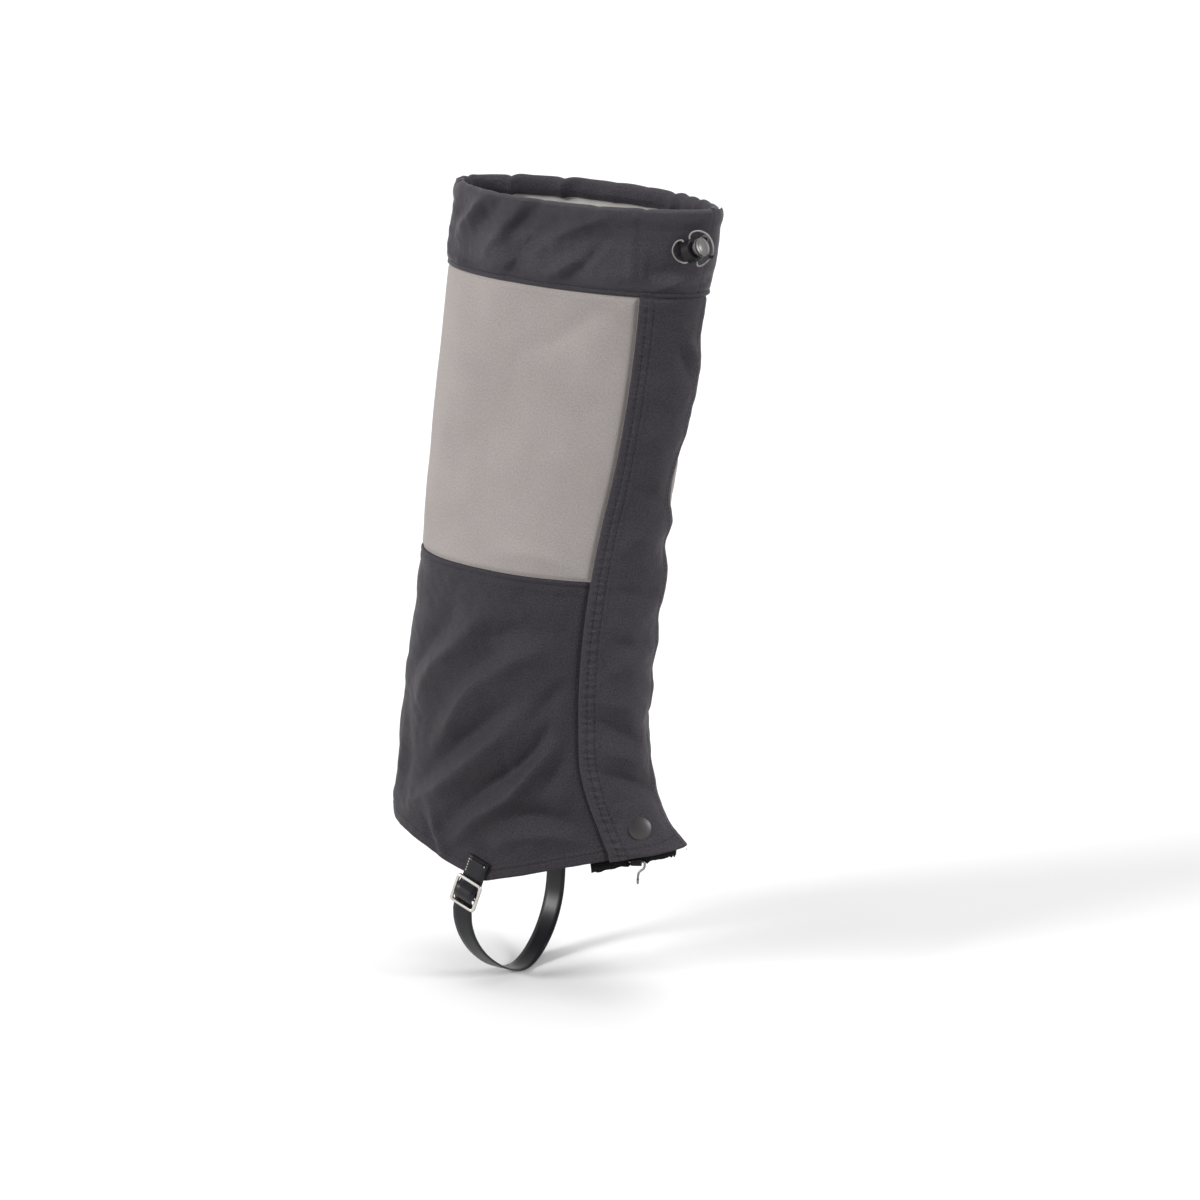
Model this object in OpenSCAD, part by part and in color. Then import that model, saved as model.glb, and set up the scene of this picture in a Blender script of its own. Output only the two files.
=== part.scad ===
// Calf-high hiking gaiter for the right leg, worn closed: a leaning cloth tube with a front flap,
// a drawcord cuff and an instep strap. +Z is up, the toe points to -Y, the outer (buckle) side is -X.
// The origin is on the leg's axis, at the height of the hem's lowest point. Sizes are millimetres.

/* [Tube] */
// Height from the hem's lowest point to the rim
height = 445; // [435:1:455]
// Depth of the black cuff at the top
cuff_depth = 53; // [48:1:58]
// Height of the seam between the ankle and calf panels
mid_seam = 207; // [195:1:220]
// Half of the tube's width at the rim
rim_half_width = 35; // [33:0.5:38]
// Half of the tube's width at the hem
hem_half_width = 47; // [45:0.5:49]
// How far the rim lies forward of the hem
lean_forward = 49; // [44:1:54]
// How far the lowest part kicks out in front, over the tongue of a boot
front_kick = 20; // [14:1:22]
// Thickness of the cloth with its coating
cloth = 1.2; // [1:0.1:1.4]

/* [Flap] */
// Angle round the tube of the flap's sewn seam, from the front
flap_seam = 50; // [48:1:52]
// How far past the front the flap's free edge reaches, in degrees
flap_past = 6; // [4:1:8]
// Angles of the two edges of the hook and loop tapes
tape_from = 12; // [10:1:14]
tape_to = 33; // [30:1:35]
// Height of the snap above the hem's lowest point
snap_height = 44; // [43:1:46]
// Radius of the snap cap
snap_cap_r = 7.4; // [7:0.1:7.6]

/* [Cord lock] */
// Radius of the lock's body
lock_r = 8; // [7.8:0.1:8.4]
// Radius of the button's head
button_r = 6.5; // [6:0.1:6.8]
// How far the button presses in
button_travel = 3; // [2:0.5:3]
// Size of the whole lock against one with the radii above
lock_size = 0.87; // [0.85:0.01:0.95]
// Radius of the elastic drawcord
cord_r = 0.8; // [0.7:0.05:0.9]

/* [Instep strap] */
// Width of the strap
strap_w = 14.5; // [13:0.5:14.5]
// Thickness of the strap
strap_t = 1.1; // [1:0.05:1.1]
// How far the strap hangs below the hem
strap_drop = 78; // [70:1:85]
// Angle at which tab and buckle lean back
buckle_lean = 20; // [16:1:22]
// Width and length of the buckle frame
buckle_w = 19.6; // [19.2:0.1:21]
buckle_l = 21; // [20.6:0.1:22]

/* [Hidden] */
$fn = 48;

rear = 180;                       // angle of the rear seam
seam_gap = 0.1;                   // room left where two panels meet
hinge_gap = 1.6;                  // degrees of room on each side of the flap's hinge line
hinge_low = 60;                   // heights of the two points that the hinge line goes through
hinge_high = 400;
hinge_lift = 0.8;                 // the hinge line is this far outside the panels' inner face
under = -3.8;                     // depth of the underlap's inner face
tunnel = 12;                      // depth of the folded hem tunnel
fold_t = 1;                       // thickness of its inner ply
tape_t = 1.1;                     // thickness of the hook and loop tapes
tape_low = 70;
inner_edge = 364;                 // the inner panels end a little past the front, under the flap
lock_tilt = 22;                   // the button points forward, and this much up
lock_turn = 10;                   // and this much outward
lock_at = [-22.1, -128, 416.9];   // middle of the lock's body
hook_at = 28;                     // angle round the tube of the lace hook
kick_high = 75;                   // the kick starts at this height, and is whole this far below it
kick_depth = 45;

// ---------------------------------------------------------------- the tube's surface

function clamp01(x) = min(max(x, 0), 1);
function mix(a, b, t) = a + (b - a) * t;
function unit(v) = v / norm(v);

// How far forward of the origin the section's middle lies
function lean(z) = lean_forward * pow(clamp01(z / height), 1.5) - 7;

// Half of the section's length, from front to rear: least at the seam above the ankle
function half_length(z) = z > mid_seam
    ? 89 + 3 * pow((z - mid_seam) / (height - mid_seam), 2)
    : 89 + 12.5 * pow((mid_seam - z) / mid_seam, 1.6);

function half_width(z) = mix(hem_half_width, rim_half_width, z / height);

// The kick at the front of the hem: the cloth below kick_high bends out over the boot's tongue
function kick(u, z) = front_kick * pow(clamp01((kick_high - z) / kick_depth), 3) * pow(max(cos(u), 0), 6);

// A point of the panels' inner face: u is 0 in front, 90 on the outer side and 180 behind
function tube_point(u, z) =
    [-half_width(z) * sin(u), -(lean(z) + half_length(z) * cos(u) + kick(u, z)), z];

// The level direction away from the leg
function outward(u, z) =
    let (t = tube_point(u + 1, z) - tube_point(u - 1, z))
    unit([-t[1], t[0], 0]);

// The same with the surface's own slope
function normal(u, z) =
    let (t = tube_point(u + 1, z) - tube_point(u - 1, z), up = tube_point(u, z + 2) - tube_point(u, z - 2))
    unit(cross(up, t));

function layer(u, z, d) = tube_point(u, z) + d * outward(u, z);

// Heights of the hem, the cuff's seam and the rim round the tube
function hem(u) = cos(u) > 0 ? 32 * pow(cos(u), 2) : 19 * pow(cos(u), 2);
function dip(u) = 3 * (1 + cos(u));
function cuff_seam(u) = height - cuff_depth - dip(u);
function rim(u) = height - dip(u);

// The hinge line of the flap, and its angle round the tube at each height
hinge_a = layer(flap_seam, hinge_low, hinge_lift);
hinge_b = layer(flap_seam, hinge_high, hinge_lift);
function hinge_y(z) = mix(hinge_a[1], hinge_b[1], (z - hinge_low) / (hinge_high - hinge_low));
function seam_angle(z) = acos((-hinge_y(z) - lean(z)) / half_length(z));

// Depth of the flap's inner face: it rises towards the free edge, and its corner stands off
function flap_depth(u, z) =
    let (across = clamp01((flap_seam - u) / (flap_seam - 10)))
    mix(0.2, 1.7, across) + 2.5 * pow(clamp01((75 - z) / 45), 2) * pow(clamp01((40 - u) / 46), 2);

// Depth of the underlap's inner face: it tucks in behind the inner panels' front edge
function under_depth(u) = mix(-cloth - 0.45, under, clamp01((u + 22) / 14));

// ---------------------------------------------------------------- building blocks

// Triangles of one face of a grid of points, (across + 1) points in each of (up + 1) rows
function grid(start, across, up, flip) = [
    for (j = [0 : up - 1]) for (i = [0 : across - 1]) for (half = [0, 1])
        let (a = start + j * (across + 1) + i, b = a + 1, c = b + across + 1, d = a + across + 1)
        half == 0 ? (flip ? [a, b, c] : [c, b, a]) : (flip ? [a, c, d] : [d, c, a])];

// Triangles that join the rims of two such grids
function rims(across, up) =
    let (n = (across + 1) * (up + 1), row = across + 1,
        ring = concat([for (i = [0 : across]) i],
            [for (j = [1 : up]) j * row + across],
            [for (i = [across - 1 : -1 : 0]) up * row + i],
            [for (j = [up - 1 : -1 : 1]) j * row]))
    [for (k = [0 : len(ring) - 1]) for (half = [0, 1])
        let (a = ring[k], b = ring[(k + 1) % len(ring)])
        half == 0 ? [a, a + n, b + n] : [a, b + n, b]];

// A sheet of cloth. place(s, t) gives the angle, height and inner depth, s and t from 0 to 1; the
// angle falls as s grows
module sheet(place, thick, across, up) {
    points = [for (side = [0, 1]) for (j = [0 : up]) for (i = [0 : across])
        let (p = place(i / across, j / up))
        layer(p[0], p[1], p[2] + side * thick)];
    n = (across + 1) * (up + 1);
    polyhedron(points, concat(grid(0, across, up, true), grid(n, across, up, false), rims(across, up)));
}

// A tube of n stations, each a closed ring of the same number of points
module loft(stations) {
    m = len(stations[0]);
    last = (len(stations) - 1) * m;
    sides = [for (k = [0 : len(stations) - 2]) for (i = [0 : m - 1]) for (half = [0, 1])
        let (a = k * m + i, b = k * m + (i + 1) % m)
        half == 0 ? [a, b, b + m] : [a, b + m, a + m]];
    polyhedron([for (s = stations) each s],
        concat([[for (i = [m - 1 : -1 : 0]) i]], sides, [[for (i = [0 : m - 1]) last + i]]));
}

// The direction of a route at point k
function heading(path, k) =
    unit(path[min(k + 1, len(path) - 1)] - path[max(k - 1, 0)]);

// A round cord along a route, with sides sides
module cord(path, r, sides) {
    loft([for (k = [0 : len(path) - 1])
        let (ahead = heading(path, k),
            side = unit(cross(ahead, abs(ahead[2]) < 0.9 ? [0, 0, 1] : [0, 1, 0])),
            rise = cross(ahead, side))
        [for (i = [0 : sides - 1])
            path[k] + r * cos(-i * 360 / sides) * side + r * sin(-i * 360 / sides) * rise]]);
}

// A smooth route through hand-placed points, with steps points to each stretch
function smooth(p, steps) = concat(
    [for (k = [0 : len(p) - 2]) for (s = [0 : steps - 1])
        let (t = s / steps, a = p[max(k - 1, 0)], b = p[k], c = p[k + 1], d = p[min(k + 2, len(p) - 1)])
        0.5 * (2 * b + (c - a) * t + (2 * a - 5 * b + 4 * c - d) * t * t
            + (3 * b - a - 3 * c + d) * t * t * t)],
    [p[len(p) - 1]]);

// Children are built along +Z and stood on a point, pointing along a direction
module stand(at, along) {
    translate(at)
        rotate([0, acos(along[2]), atan2(along[1], along[0])])
            children();
}

// ---------------------------------------------------------------- cloth panels

module panel(from_hinge, low, high, across, up) {
    sheet(function (s, t)
        let (outer_u = mix(rear - 0.1, seam_angle(mix(low(flap_seam), high(flap_seam), t)) + hinge_gap, s),
            inner_u = mix(inner_edge, rear + 0.1, s),
            u = from_hinge ? outer_u : inner_u)
        [u, mix(low(u), high(u), t), 0], cloth, across, up);
}

module calf_panel(outer) {
    color([0.66, 0.62, 0.6])
        panel(outer, function (u) mid_seam + seam_gap, function (u) cuff_seam(u) - seam_gap, 20, 9);
}

module ankle_panel(outer) {
    color([0.23, 0.23, 0.25])
        panel(outer, function (u) hem(u), function (u) mid_seam - seam_gap, 22, 12);
}

module outer_calf_panel() { calf_panel(true); }
module inner_calf_panel() { calf_panel(false); }
module outer_ankle_panel() { ankle_panel(true); }
module inner_ankle_panel() { ankle_panel(false); }

// One strip of cloth, folded over at the rim and down again as the drawcord's tunnel
module cuff_strip(from, to, steps, lift) {
    loft([for (k = [0 : steps])
        let (u = mix(from, to, k / steps), top = rim(u), low = cuff_seam(u), d = lift(u), back = -3.5)
        [layer(u, low, d), layer(u, top - fold_t, d), layer(u, top - fold_t, back + fold_t),
            layer(u, top - tunnel, back + fold_t), layer(u, top - tunnel, back), layer(u, top, back),
            layer(u, top, d + 1.4), layer(u, low, d + 1.4)]]);
}

cuff_hinge = seam_angle(height - cuff_depth / 2);

module cuff_band() {
    color([0.24, 0.24, 0.26])
        cuff_strip(cuff_hinge + 2 * hinge_gap, inner_edge - 4, 44, function (u) 0.1);
}

module cuff_end() {
    color([0.24, 0.24, 0.26])
        difference() {
            cuff_strip(8, cuff_hinge - 2 * hinge_gap, 12, function (u) flap_depth(u, height));
            eyelet_hole();
        }
}

// The free end of the cuff, past its last row of stitching
module cuff_lip() {
    color([0.27, 0.27, 0.29])
        sheet(function (s, t)
            let (u = mix(7.9, -10, s))
            [u, mix(cuff_seam(u) - 1, rim(u), t), mix(1.8, 4.4, s)], 1.4, 5, 3);
}

module front_flap() {
    color([0.25, 0.25, 0.27])
        difference() {
            sheet(function (s, t)
                let (top = cuff_seam(20) - seam_gap - 1,
                    low = hem(20) - 1,
                    u = mix(seam_angle(mix(low, top, t)) - hinge_gap, -flap_past, s),
                    z = mix(hem(u) - 1, cuff_seam(u) - seam_gap - 1, t))
                [u, z, flap_depth(u, z)], cloth, 12, 22);
            snap_room(1, 6.6, 2.4);
        }
}

module underlap() {
    color([0.2, 0.2, 0.22])
        difference() {
            sheet(function (s, t)
                let (top = height - tunnel - 11,
                    u = mix(seam_angle(mix(20, top, t)) + 10, -22, s))
                [u, mix(hem(u) - 3, top, t), under_depth(u)], cloth, 20, 24);
            snap_room(-1, 5.6, 1.6);
        }
}

module tape(depth) {
    sheet(function (s, t)
        let (u = mix(tape_to, tape_from, s))
        [u, mix(tape_low, cuff_seam(u) - 4, t), depth], tape_t, 6, 16);
}

module loop_tape() { color([0.12, 0.12, 0.13]) tape(under + cloth + 0.15); }
module hook_tape() { color([0.15, 0.15, 0.16]) tape(-1.05); }

// ---------------------------------------------------------------- snap fastener

snap_u = 21;
snap_mid = layer(snap_u, snap_height, under + cloth);    // on the underlap's outer face
snap_dir = normal(snap_u, snap_height);
snap_gap = 4.6;                                          // from the underlap to the cap's rim
stud_r = 2.2;                                            // the stud's head

// Room cut in the cloth round the snap: side 1 is the flap and -1 the underlap
module snap_room(side, r, hole) {
    stand(snap_mid, snap_dir) {
        translate([0, 0, -8])
            cylinder(r = hole + 0.2, h = 20);
        if (side > 0) {
            translate([0, 0, -1])
                cylinder(r = r, h = snap_gap + 0.1);
            translate([0, 0, snap_gap])
                cylinder(r = snap_cap_r + 0.3, h = 6);
        } else {
            translate([0, 0, -0.1])
                cylinder(r = r, h = 4);
            translate([0, 0, -6])
                cylinder(r = r, h = 4.6);
        }
    }
}

module snap_stud() {
    color([0.35, 0.35, 0.36])
        stand(snap_mid, snap_dir)
            rotate_extrude()
                polygon([[0, 0], [5.2, 0], [5.2, 0.6], [2, 0.6], [1.9, 1.2], [stud_r, 1.7], [1.8, 2.4], [0, 2.4]]);
}

module snap_post() {
    color([0.35, 0.35, 0.36])
        stand(snap_mid, snap_dir)
            rotate_extrude()
                polygon([[0, -2.4], [5, -2.4], [5, -1.8], [1.5, -1.8], [1.5, -0.05], [0, -0.05]]);
}

module snap_socket() {
    color([0.3, 0.3, 0.31])
        stand(snap_mid, snap_dir)
            rotate_extrude()
                polygon([[stud_r + 0.5, 1], [6.2, 1], [6.2, 2.2], [4.4, 3.2], [2.2, 3.2], [2.2, snap_gap - 0.05],
                    [0.8, snap_gap - 0.05], [0.8, 2.8], [stud_r + 0.5, 2.8]]);
}

module snap_cap() {
    color([0.2, 0.2, 0.21])
        stand(snap_mid, snap_dir)
            translate([0, 0, snap_gap])
                rotate_extrude()
                    polygon([[0, 0], [snap_cap_r - 0.4, 0], [snap_cap_r, 0.5], [snap_cap_r - 0.3, 1],
                        for (a = [20 : 10 : 90]) [(snap_cap_r - 0.4) * cos(a), 0.7 + 1.3 * sin(a)]]);
}

// ---------------------------------------------------------------- drawcord and its lock

lock_dir = [-sin(lock_turn) * cos(lock_tilt), -cos(lock_turn) * cos(lock_tilt), sin(lock_tilt)];
lock_up = unit([0, 0, 1] - lock_dir[2] * lock_dir);
eyelet_u = 15;
eyelet_z = 422;
eyelet_dir = outward(eyelet_u, eyelet_z);
eyelet_mid = layer(eyelet_u, eyelet_z, flap_depth(eyelet_u, height));
cord_depth = -1.2;                // depth of the cord's middle inside the tunnel

// The loop you pull, from the lock's middle: up out of the lock, over the button, round and in below
loop_route = by_lock([[0.4, 2, 5], [0.6, 3.3, 8.3], [1.2, 2.8, 10.8], [1.8, 0.2, 12.6], [2.6, -4.2, 13],
    [3.6, -9, 10.8], [4, -12.2, 6], [3.6, -13.4, 0.8], [2.8, -12.2, -3.6], [1.4, -9.2, -7.6],
    [0, -6, -10], [-0.7, -4, -10], [-0.6, -3.1, -7.7], [-0.4, -2, -5]]);
knot_at = 8;                      // the knot sits on this point of the loop

// The loop that ties the lock to its tab, a flat C beside the lock
anchor_route = by_lock([[1.4, 7.8, 4.4], [1.6, 9.8, 5.8], [0.3, 12.5, 5.2], [-0.9, 14.4, 2.6],
    [-1.4, 15.2, -1], [-0.9, 14.4, -4.6], [0.3, 12.5, -7.6], [1.4, 10.2, -9], [1.2, 7, -9.4],
    [0.6, 4.4, -8.6]]);

// Points given from the middle of a full-size lock
function by_lock(points) = [for (p = points) lock_at + lock_size * p];

module drawcord() {
    color([0.2, 0.2, 0.21])
        cord([for (u = [seam_angle(height) + 5 : 4.5 : inner_edge - 6]) layer(u, rim(u) - 6, cord_depth)],
            cord_r, 8);
}

module drawcord_front() {
    path = concat([for (u = [seam_angle(height) - 5 : -4 : 24]) layer(u, rim(u) - 6, -0.9)],
        [layer(19, rim(19) - 8, -0.9), layer(16.6, eyelet_z + 5.5, -0.9),
            layer(eyelet_u + 0.4, eyelet_z + 1.6, -1.2), eyelet_mid - 0.6 * eyelet_dir,
            eyelet_mid + 3 * eyelet_dir]);
    color([0.2, 0.2, 0.21])
        cord(path, cord_r, 8);
}

module eyelet_hole() {
    stand(eyelet_mid, eyelet_dir)
        translate([0, 0, -1.2])
            cylinder(r = 2.1, h = 6);
}

module cord_eyelet() {
    color([0.3, 0.3, 0.31])
        stand(eyelet_mid, eyelet_dir)
            rotate_extrude()
                polygon([[1.2, -0.3], [1.9, -0.3], [1.9, 1.9], [3.2, 2], [3, 2.4], [1.6, 2.6], [1.2, 2.2]]);
}

module lock_frame() {
    translate(lock_at)
        rotate([0, 0, -lock_turn])
            rotate([90 - lock_tilt, 0, 0])
                scale(lock_size)
                    children();
}

lock_back = -5;                   // the body's ends along its own axis
lock_front = 3;
shaft_r = 4.6;

module lock_body() {
    color([0.13, 0.13, 0.14])
        lock_frame()
            difference() {
                rotate_extrude()
                    polygon([[0, lock_back], [lock_r - 1.2, lock_back], [lock_r, lock_back + 1.2],
                        [lock_r, lock_front - 0.8], [lock_r - 0.8, lock_front], [0, lock_front]]);
                translate([0, 0, lock_back + 1.4])
                    cylinder(r = shaft_r + 0.08, h = 20);
                rotate([90, 0, 0])
                    cylinder(r = cord_r + 0.4, h = 30, center = true);
            }
}

module lock_button() {
    head = lock_front + button_travel + 0.2;
    color([0.55, 0.55, 0.54])
        lock_frame()
            difference() {
                rotate_extrude()
                    polygon([[0, -0.4], [shaft_r, -0.4], [shaft_r, head], [button_r - 0.3, head],
                        [button_r, head + 0.3], [button_r, head + 1.2], [button_r - 0.8, head + 1.4],
                        [button_r - 0.8, head + 1.8], [button_r - 0.2, head + 2], [button_r - 0.2, head + 2.8],
                        for (a = [20 : 14 : 90]) [(button_r - 0.8) * cos(a), head + 2.6 + 1.6 * sin(a)]]);
                translate([0, 0, -1])
                    cylinder(r = 3.3, h = 5);
            }
}

module lock_spring() {
    turns = 4;
    low = lock_back + 1.9;
    top = 0.4;
    color([0.7, 0.7, 0.7])
        lock_frame()
            cord([for (a = [0 : 20 : turns * 360])
                [2.7 * cos(a), 2.7 * sin(a), mix(low, top, a / (turns * 360))]], 0.3, 6);
}

module lock_tab() {
    color([0.2, 0.2, 0.21])
        loft([for (p = by_lock([[0.5, 13, -1], [2.2, 10.2, -1], [1.6, 7.1, -1]]))
            [for (q = [[-0.5, 3.7], [0.5, 3.7], [0.5, -3.7], [-0.5, -3.7]])
                [p[0] + q[0] * 0.85, p[1] + q[0] * 0.5, p[2] + q[1]]]]);
}

module anchor_loop() { color([0.7, 0.7, 0.7]) cord(smooth(anchor_route, 2), lock_size * cord_r, 8); }
module cord_loop() { color([0.7, 0.7, 0.7]) cord(smooth(loop_route, 3), lock_size * cord_r, 8); }

module cord_knot() {
    color([0.15, 0.15, 0.16])
        translate(loop_route[knot_at])
            difference() {
                sphere(r = lock_size * 2.4);
                stand([0, 0, 0], unit(loop_route[knot_at + 1] - loop_route[knot_at - 1]))
                    cylinder(r = lock_size * cord_r + 0.25, h = 10, center = true);
            }
}

// ---------------------------------------------------------------- buckle and instep strap

side_x = hem_half_width + cloth + 0.4;       // the stirrup's pieces start this far out
tab_top = [-side_x, 9.7, 15];                // top middle of the buckle tab
bar = 25.5;                                  // the centre bar, along the tab from its top
bar_r = 1.1;
bar_out = 3.8;                               // the frame's middle stands this far out
tail = 1.5;                                  // the strap's tail starts here, along the tab
tab_w = strap_w + 0.8;

// A point of the buckle's own frame: along the tab, across it towards the toe, and outward
function on_tab(a, w, n) = tab_top
    + a * [0, sin(buckle_lean), -cos(buckle_lean)]
    + w * [0, -cos(buckle_lean), -sin(buckle_lean)]
    + n * [-1, 0, 0];

// A flat band: each station is [point, width direction, thickness direction]
module band(stations, wide, thick) {
    loft([for (s = stations)
        [for (q = [[-1, -1], [1, -1], [1, 1], [-1, 1]])
            s[0] + s[1] * wide / 2 * q[0] + s[2] * thick / 2 * q[1]]]);
}

// A band in the buckle's plane along [a, n] points
function tab_stations(p) = [for (k = [0 : len(p) - 1])
    let (a = p[max(k - 1, 0)], b = p[min(k + 1, len(p) - 1)], t = unit([b[0] - a[0], b[1] - a[1]]))
    [on_tab(p[k][0], 0, p[k][1]), on_tab(0, 1, 0) - tab_top, on_tab(t[1], 0, -t[0]) - tab_top]];

module buckle_tab() {
    ring = [for (a = [-90 : 18 : 240]) [bar + 1.85 * cos(a), bar_out + 1.85 * sin(a)]];
    color([0.13, 0.13, 0.14])
        band(tab_stations([[0, 0.7], [14, 0.7], [22, 0.8], [23.6, 1.2], each ring]), tab_w, 0.9);
}

module buckle_frame() {
    half_w = buckle_w / 2 - bar_r;
    half_l = buckle_l / 2 - bar_r;
    lug = 1.6;
    color([0.75, 0.7, 0.64])
        translate(on_tab(bar, 0, bar_out))
            rotate([buckle_lean, 0, 0])
                union() {
                    for (z = [-half_l, 0, half_l])
                        translate([0, 0, z])
                            rotate([90, 0, 0])
                                cylinder(r = bar_r, h = 2 * half_w, center = true);
                    for (y = [-half_w, half_w])
                        translate([0, y, 0])
                            cube([2 * bar_r, lug, 2 * half_l + 2 * bar_r], center = true);
                }
}

strap_low = -strap_drop;
// The strap from behind the lower bar, under the arch and up the inner side: [x, y, z]
strap_route = [[-50.6, 22.6, -22], [-49.6, 22.6, -32], [-46, 21, -44], [-39, 18, -56], [-28, 14, -67],
    [-14, 11.4, strap_low + 3], [0, 10.6, strap_low], [14, 10.6, strap_low + 3], [28, 11, -67],
    [39, 11.6, -56], [46, 12, -43], [48.8, 12, -28], [49.3, 12, -12], [49.3, 12, 4], [49.3, 12, 14]];

module instep_strap() {
    over = [[tail, 1.95], [9, 1.95], [16.6, 1.95], [19.6, 3.5], [22, 5.8], [24, 6.6], [bar, 6.85],
        [27, 6.6], [29, 5.8], [31.4, 3.5], [34.4, 1.9]];
    under_arch = smooth(strap_route, 2);
    color([0.12, 0.12, 0.13])
        band(concat(tab_stations(over),
            [for (k = [0 : len(under_arch) - 1])
                let (ahead = heading(under_arch, k),
                    turn = mix(buckle_lean, 0, clamp01(k / 8)),
                    across = unit(cross(ahead, cross([0, -cos(turn), -sin(turn)], ahead))))
                [under_arch[k], across, cross(across, ahead)]]),
            strap_w, strap_t);
}

module inner_tab() {
    color([0.13, 0.13, 0.14])
        translate([side_x + 1.9, 12, 6])
            cube([1, strap_w + 3, 18], center = true);
}

// ---------------------------------------------------------------- lace hook

hook_top = layer(hook_at, hem(hook_at) - 3, under - 1.4);
hook_out = outward(hook_at, 30);
hook_side = cross([0, 0, 1], hook_out);
wire_r = 0.8;

function by_hook(side, out, up) = hook_top + side * hook_side + out * hook_out + up * [0, 0, 1];

module hook_loop() {
    color([0.12, 0.12, 0.13])
        loft([for (p = [[-2.2, 10], [-1, 4], [0, -1], [0.2, -3], [1.2, -4.6], [2.4, -4.2], [3, -2.6], [3, -0.6]])
            [for (q = [[-3.5, 0.4], [3.5, 0.4], [3.5, -0.4], [-3.5, -0.4]])
                by_hook(q[0], p[0] + q[1], p[1])]]);
}

module lace_hook() {
    eye = [[-4.6, 1.6, -2.6], [-2, 1.6, -2.6], [2, 1.6, -2.6], [4.6, 1.6, -2.6]];
    color([0.75, 0.75, 0.76])
        cord([for (p = smooth(concat(eye, [[5.4, 1.6, -4], [4.8, 1.6, -7], [2, 1.6, -9.4], [1.2, 1.6, -12],
            [1.1, 2, -14.6], [1.1, 3.8, -16], [1.1, 5.8, -15], [1.1, 6.4, -12.6]]), 2)) by_hook(p[0], p[1], p[2])],
            wire_r, 8);
}

outer_calf_panel();
inner_calf_panel();
outer_ankle_panel();
inner_ankle_panel();
cuff_band();
underlap();
loop_tape();
drawcord();
snap_stud();
snap_post();
hook_loop();
front_flap();
cuff_end();
cuff_lip();
hook_tape();
snap_cap();
snap_socket();
cord_eyelet();
drawcord_front();
lock_tab();
lock_body();
lock_spring();
anchor_loop();
cord_loop();
cord_knot();
lock_button();
buckle_tab();
buckle_frame();
instep_strap();
inner_tab();
lace_hook();
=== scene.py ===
"""A calf-high hiking gaiter for a right leg: cloth, seams, stitching and hardware round the CAD frame.

Lengths are in millimetres up to the point where a mesh is made, which is in metres. The tube's surface is
the CAD's own: u is the angle round it (0 in front, 90 on the buckle's side, 180 behind) and z the height.
"""

import math

import bmesh
import bpy
import numpy as np
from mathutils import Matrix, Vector, noise


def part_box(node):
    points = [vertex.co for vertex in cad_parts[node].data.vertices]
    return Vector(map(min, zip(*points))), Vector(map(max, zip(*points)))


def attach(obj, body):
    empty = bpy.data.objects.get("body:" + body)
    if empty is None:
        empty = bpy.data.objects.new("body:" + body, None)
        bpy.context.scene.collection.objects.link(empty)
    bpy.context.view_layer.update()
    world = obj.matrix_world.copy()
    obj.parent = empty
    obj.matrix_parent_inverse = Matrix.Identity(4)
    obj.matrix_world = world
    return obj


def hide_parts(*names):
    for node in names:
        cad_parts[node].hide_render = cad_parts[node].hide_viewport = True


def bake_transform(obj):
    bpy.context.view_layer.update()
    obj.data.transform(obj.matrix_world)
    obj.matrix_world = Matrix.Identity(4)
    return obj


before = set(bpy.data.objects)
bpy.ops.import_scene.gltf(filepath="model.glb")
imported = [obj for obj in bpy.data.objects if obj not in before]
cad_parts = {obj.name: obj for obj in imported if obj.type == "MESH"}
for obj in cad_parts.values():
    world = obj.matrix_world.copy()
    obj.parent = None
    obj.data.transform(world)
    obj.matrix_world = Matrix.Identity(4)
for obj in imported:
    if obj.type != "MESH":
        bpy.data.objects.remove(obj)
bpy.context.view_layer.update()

MM = 0.001
HEIGHT = 445.0
CUFF_DEPTH = 53.0
MID_SEAM = 207.0
CLOTH = 1.2
REAR = 180.0
TUNNEL = 12.0
UP = np.array([0, 0, 1.0])
# Millimetres in a degree round the front, at the flap's seam and at its free edge
SEAM_DEGREE = 1.15
EDGE_DEGREE = 0.85
# Rows of stitches, by their distance from the edge that they follow
SEAM_ROWS = (4.8, 9.0)
EDGE_ROW = 4.6
FLAP_HEM_ROW = 5
HEM_ROW = 6.5
MID_ROW = 3.4
CUFF_ROW = 3.2
LIP_U = 10.5


# -------------------- camera

def make_camera():
    data = bpy.data.cameras.new("camera")
    data.lens = 85
    data.sensor_width = 36
    data.clip_end = 200
    camera = bpy.data.objects.new("camera", data)
    bpy.context.scene.collection.objects.link(camera)
    camera.location = (-1.4742, -0.9212, 0.6933)
    aim = Vector((0.0234, -0.0375, 0.1775)) - camera.location
    camera.rotation_euler = aim.to_track_quat("-Z", "Y").to_euler()
    bpy.context.scene.camera = camera
    bpy.context.scene.view_settings.view_transform = "Standard"


# -------------------- numbers and curves

def clamp01(x):
    return np.clip(x, 0.0, 1.0)


def mix(a, b, t):
    return a + (b - a) * t


def ease(x):
    x = clamp01(x)
    return x * x * (3 - 2 * x)


def bump(x):
    """1 at 0, falling smoothly to 0 at 1 and -1."""
    return np.cos(np.pi / 2 * np.clip(x, -1, 1)) ** 2


def bell(x, at, width):
    """1 at one place, falling off to both sides."""
    return np.exp(-((x - at) / width) ** 2)


def unit(v):
    return v / np.linalg.norm(v)


def turn(u, centre):
    """The angle from centre to u, between -180 and 180."""
    return (u - centre + 180) % 360 - 180


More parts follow.
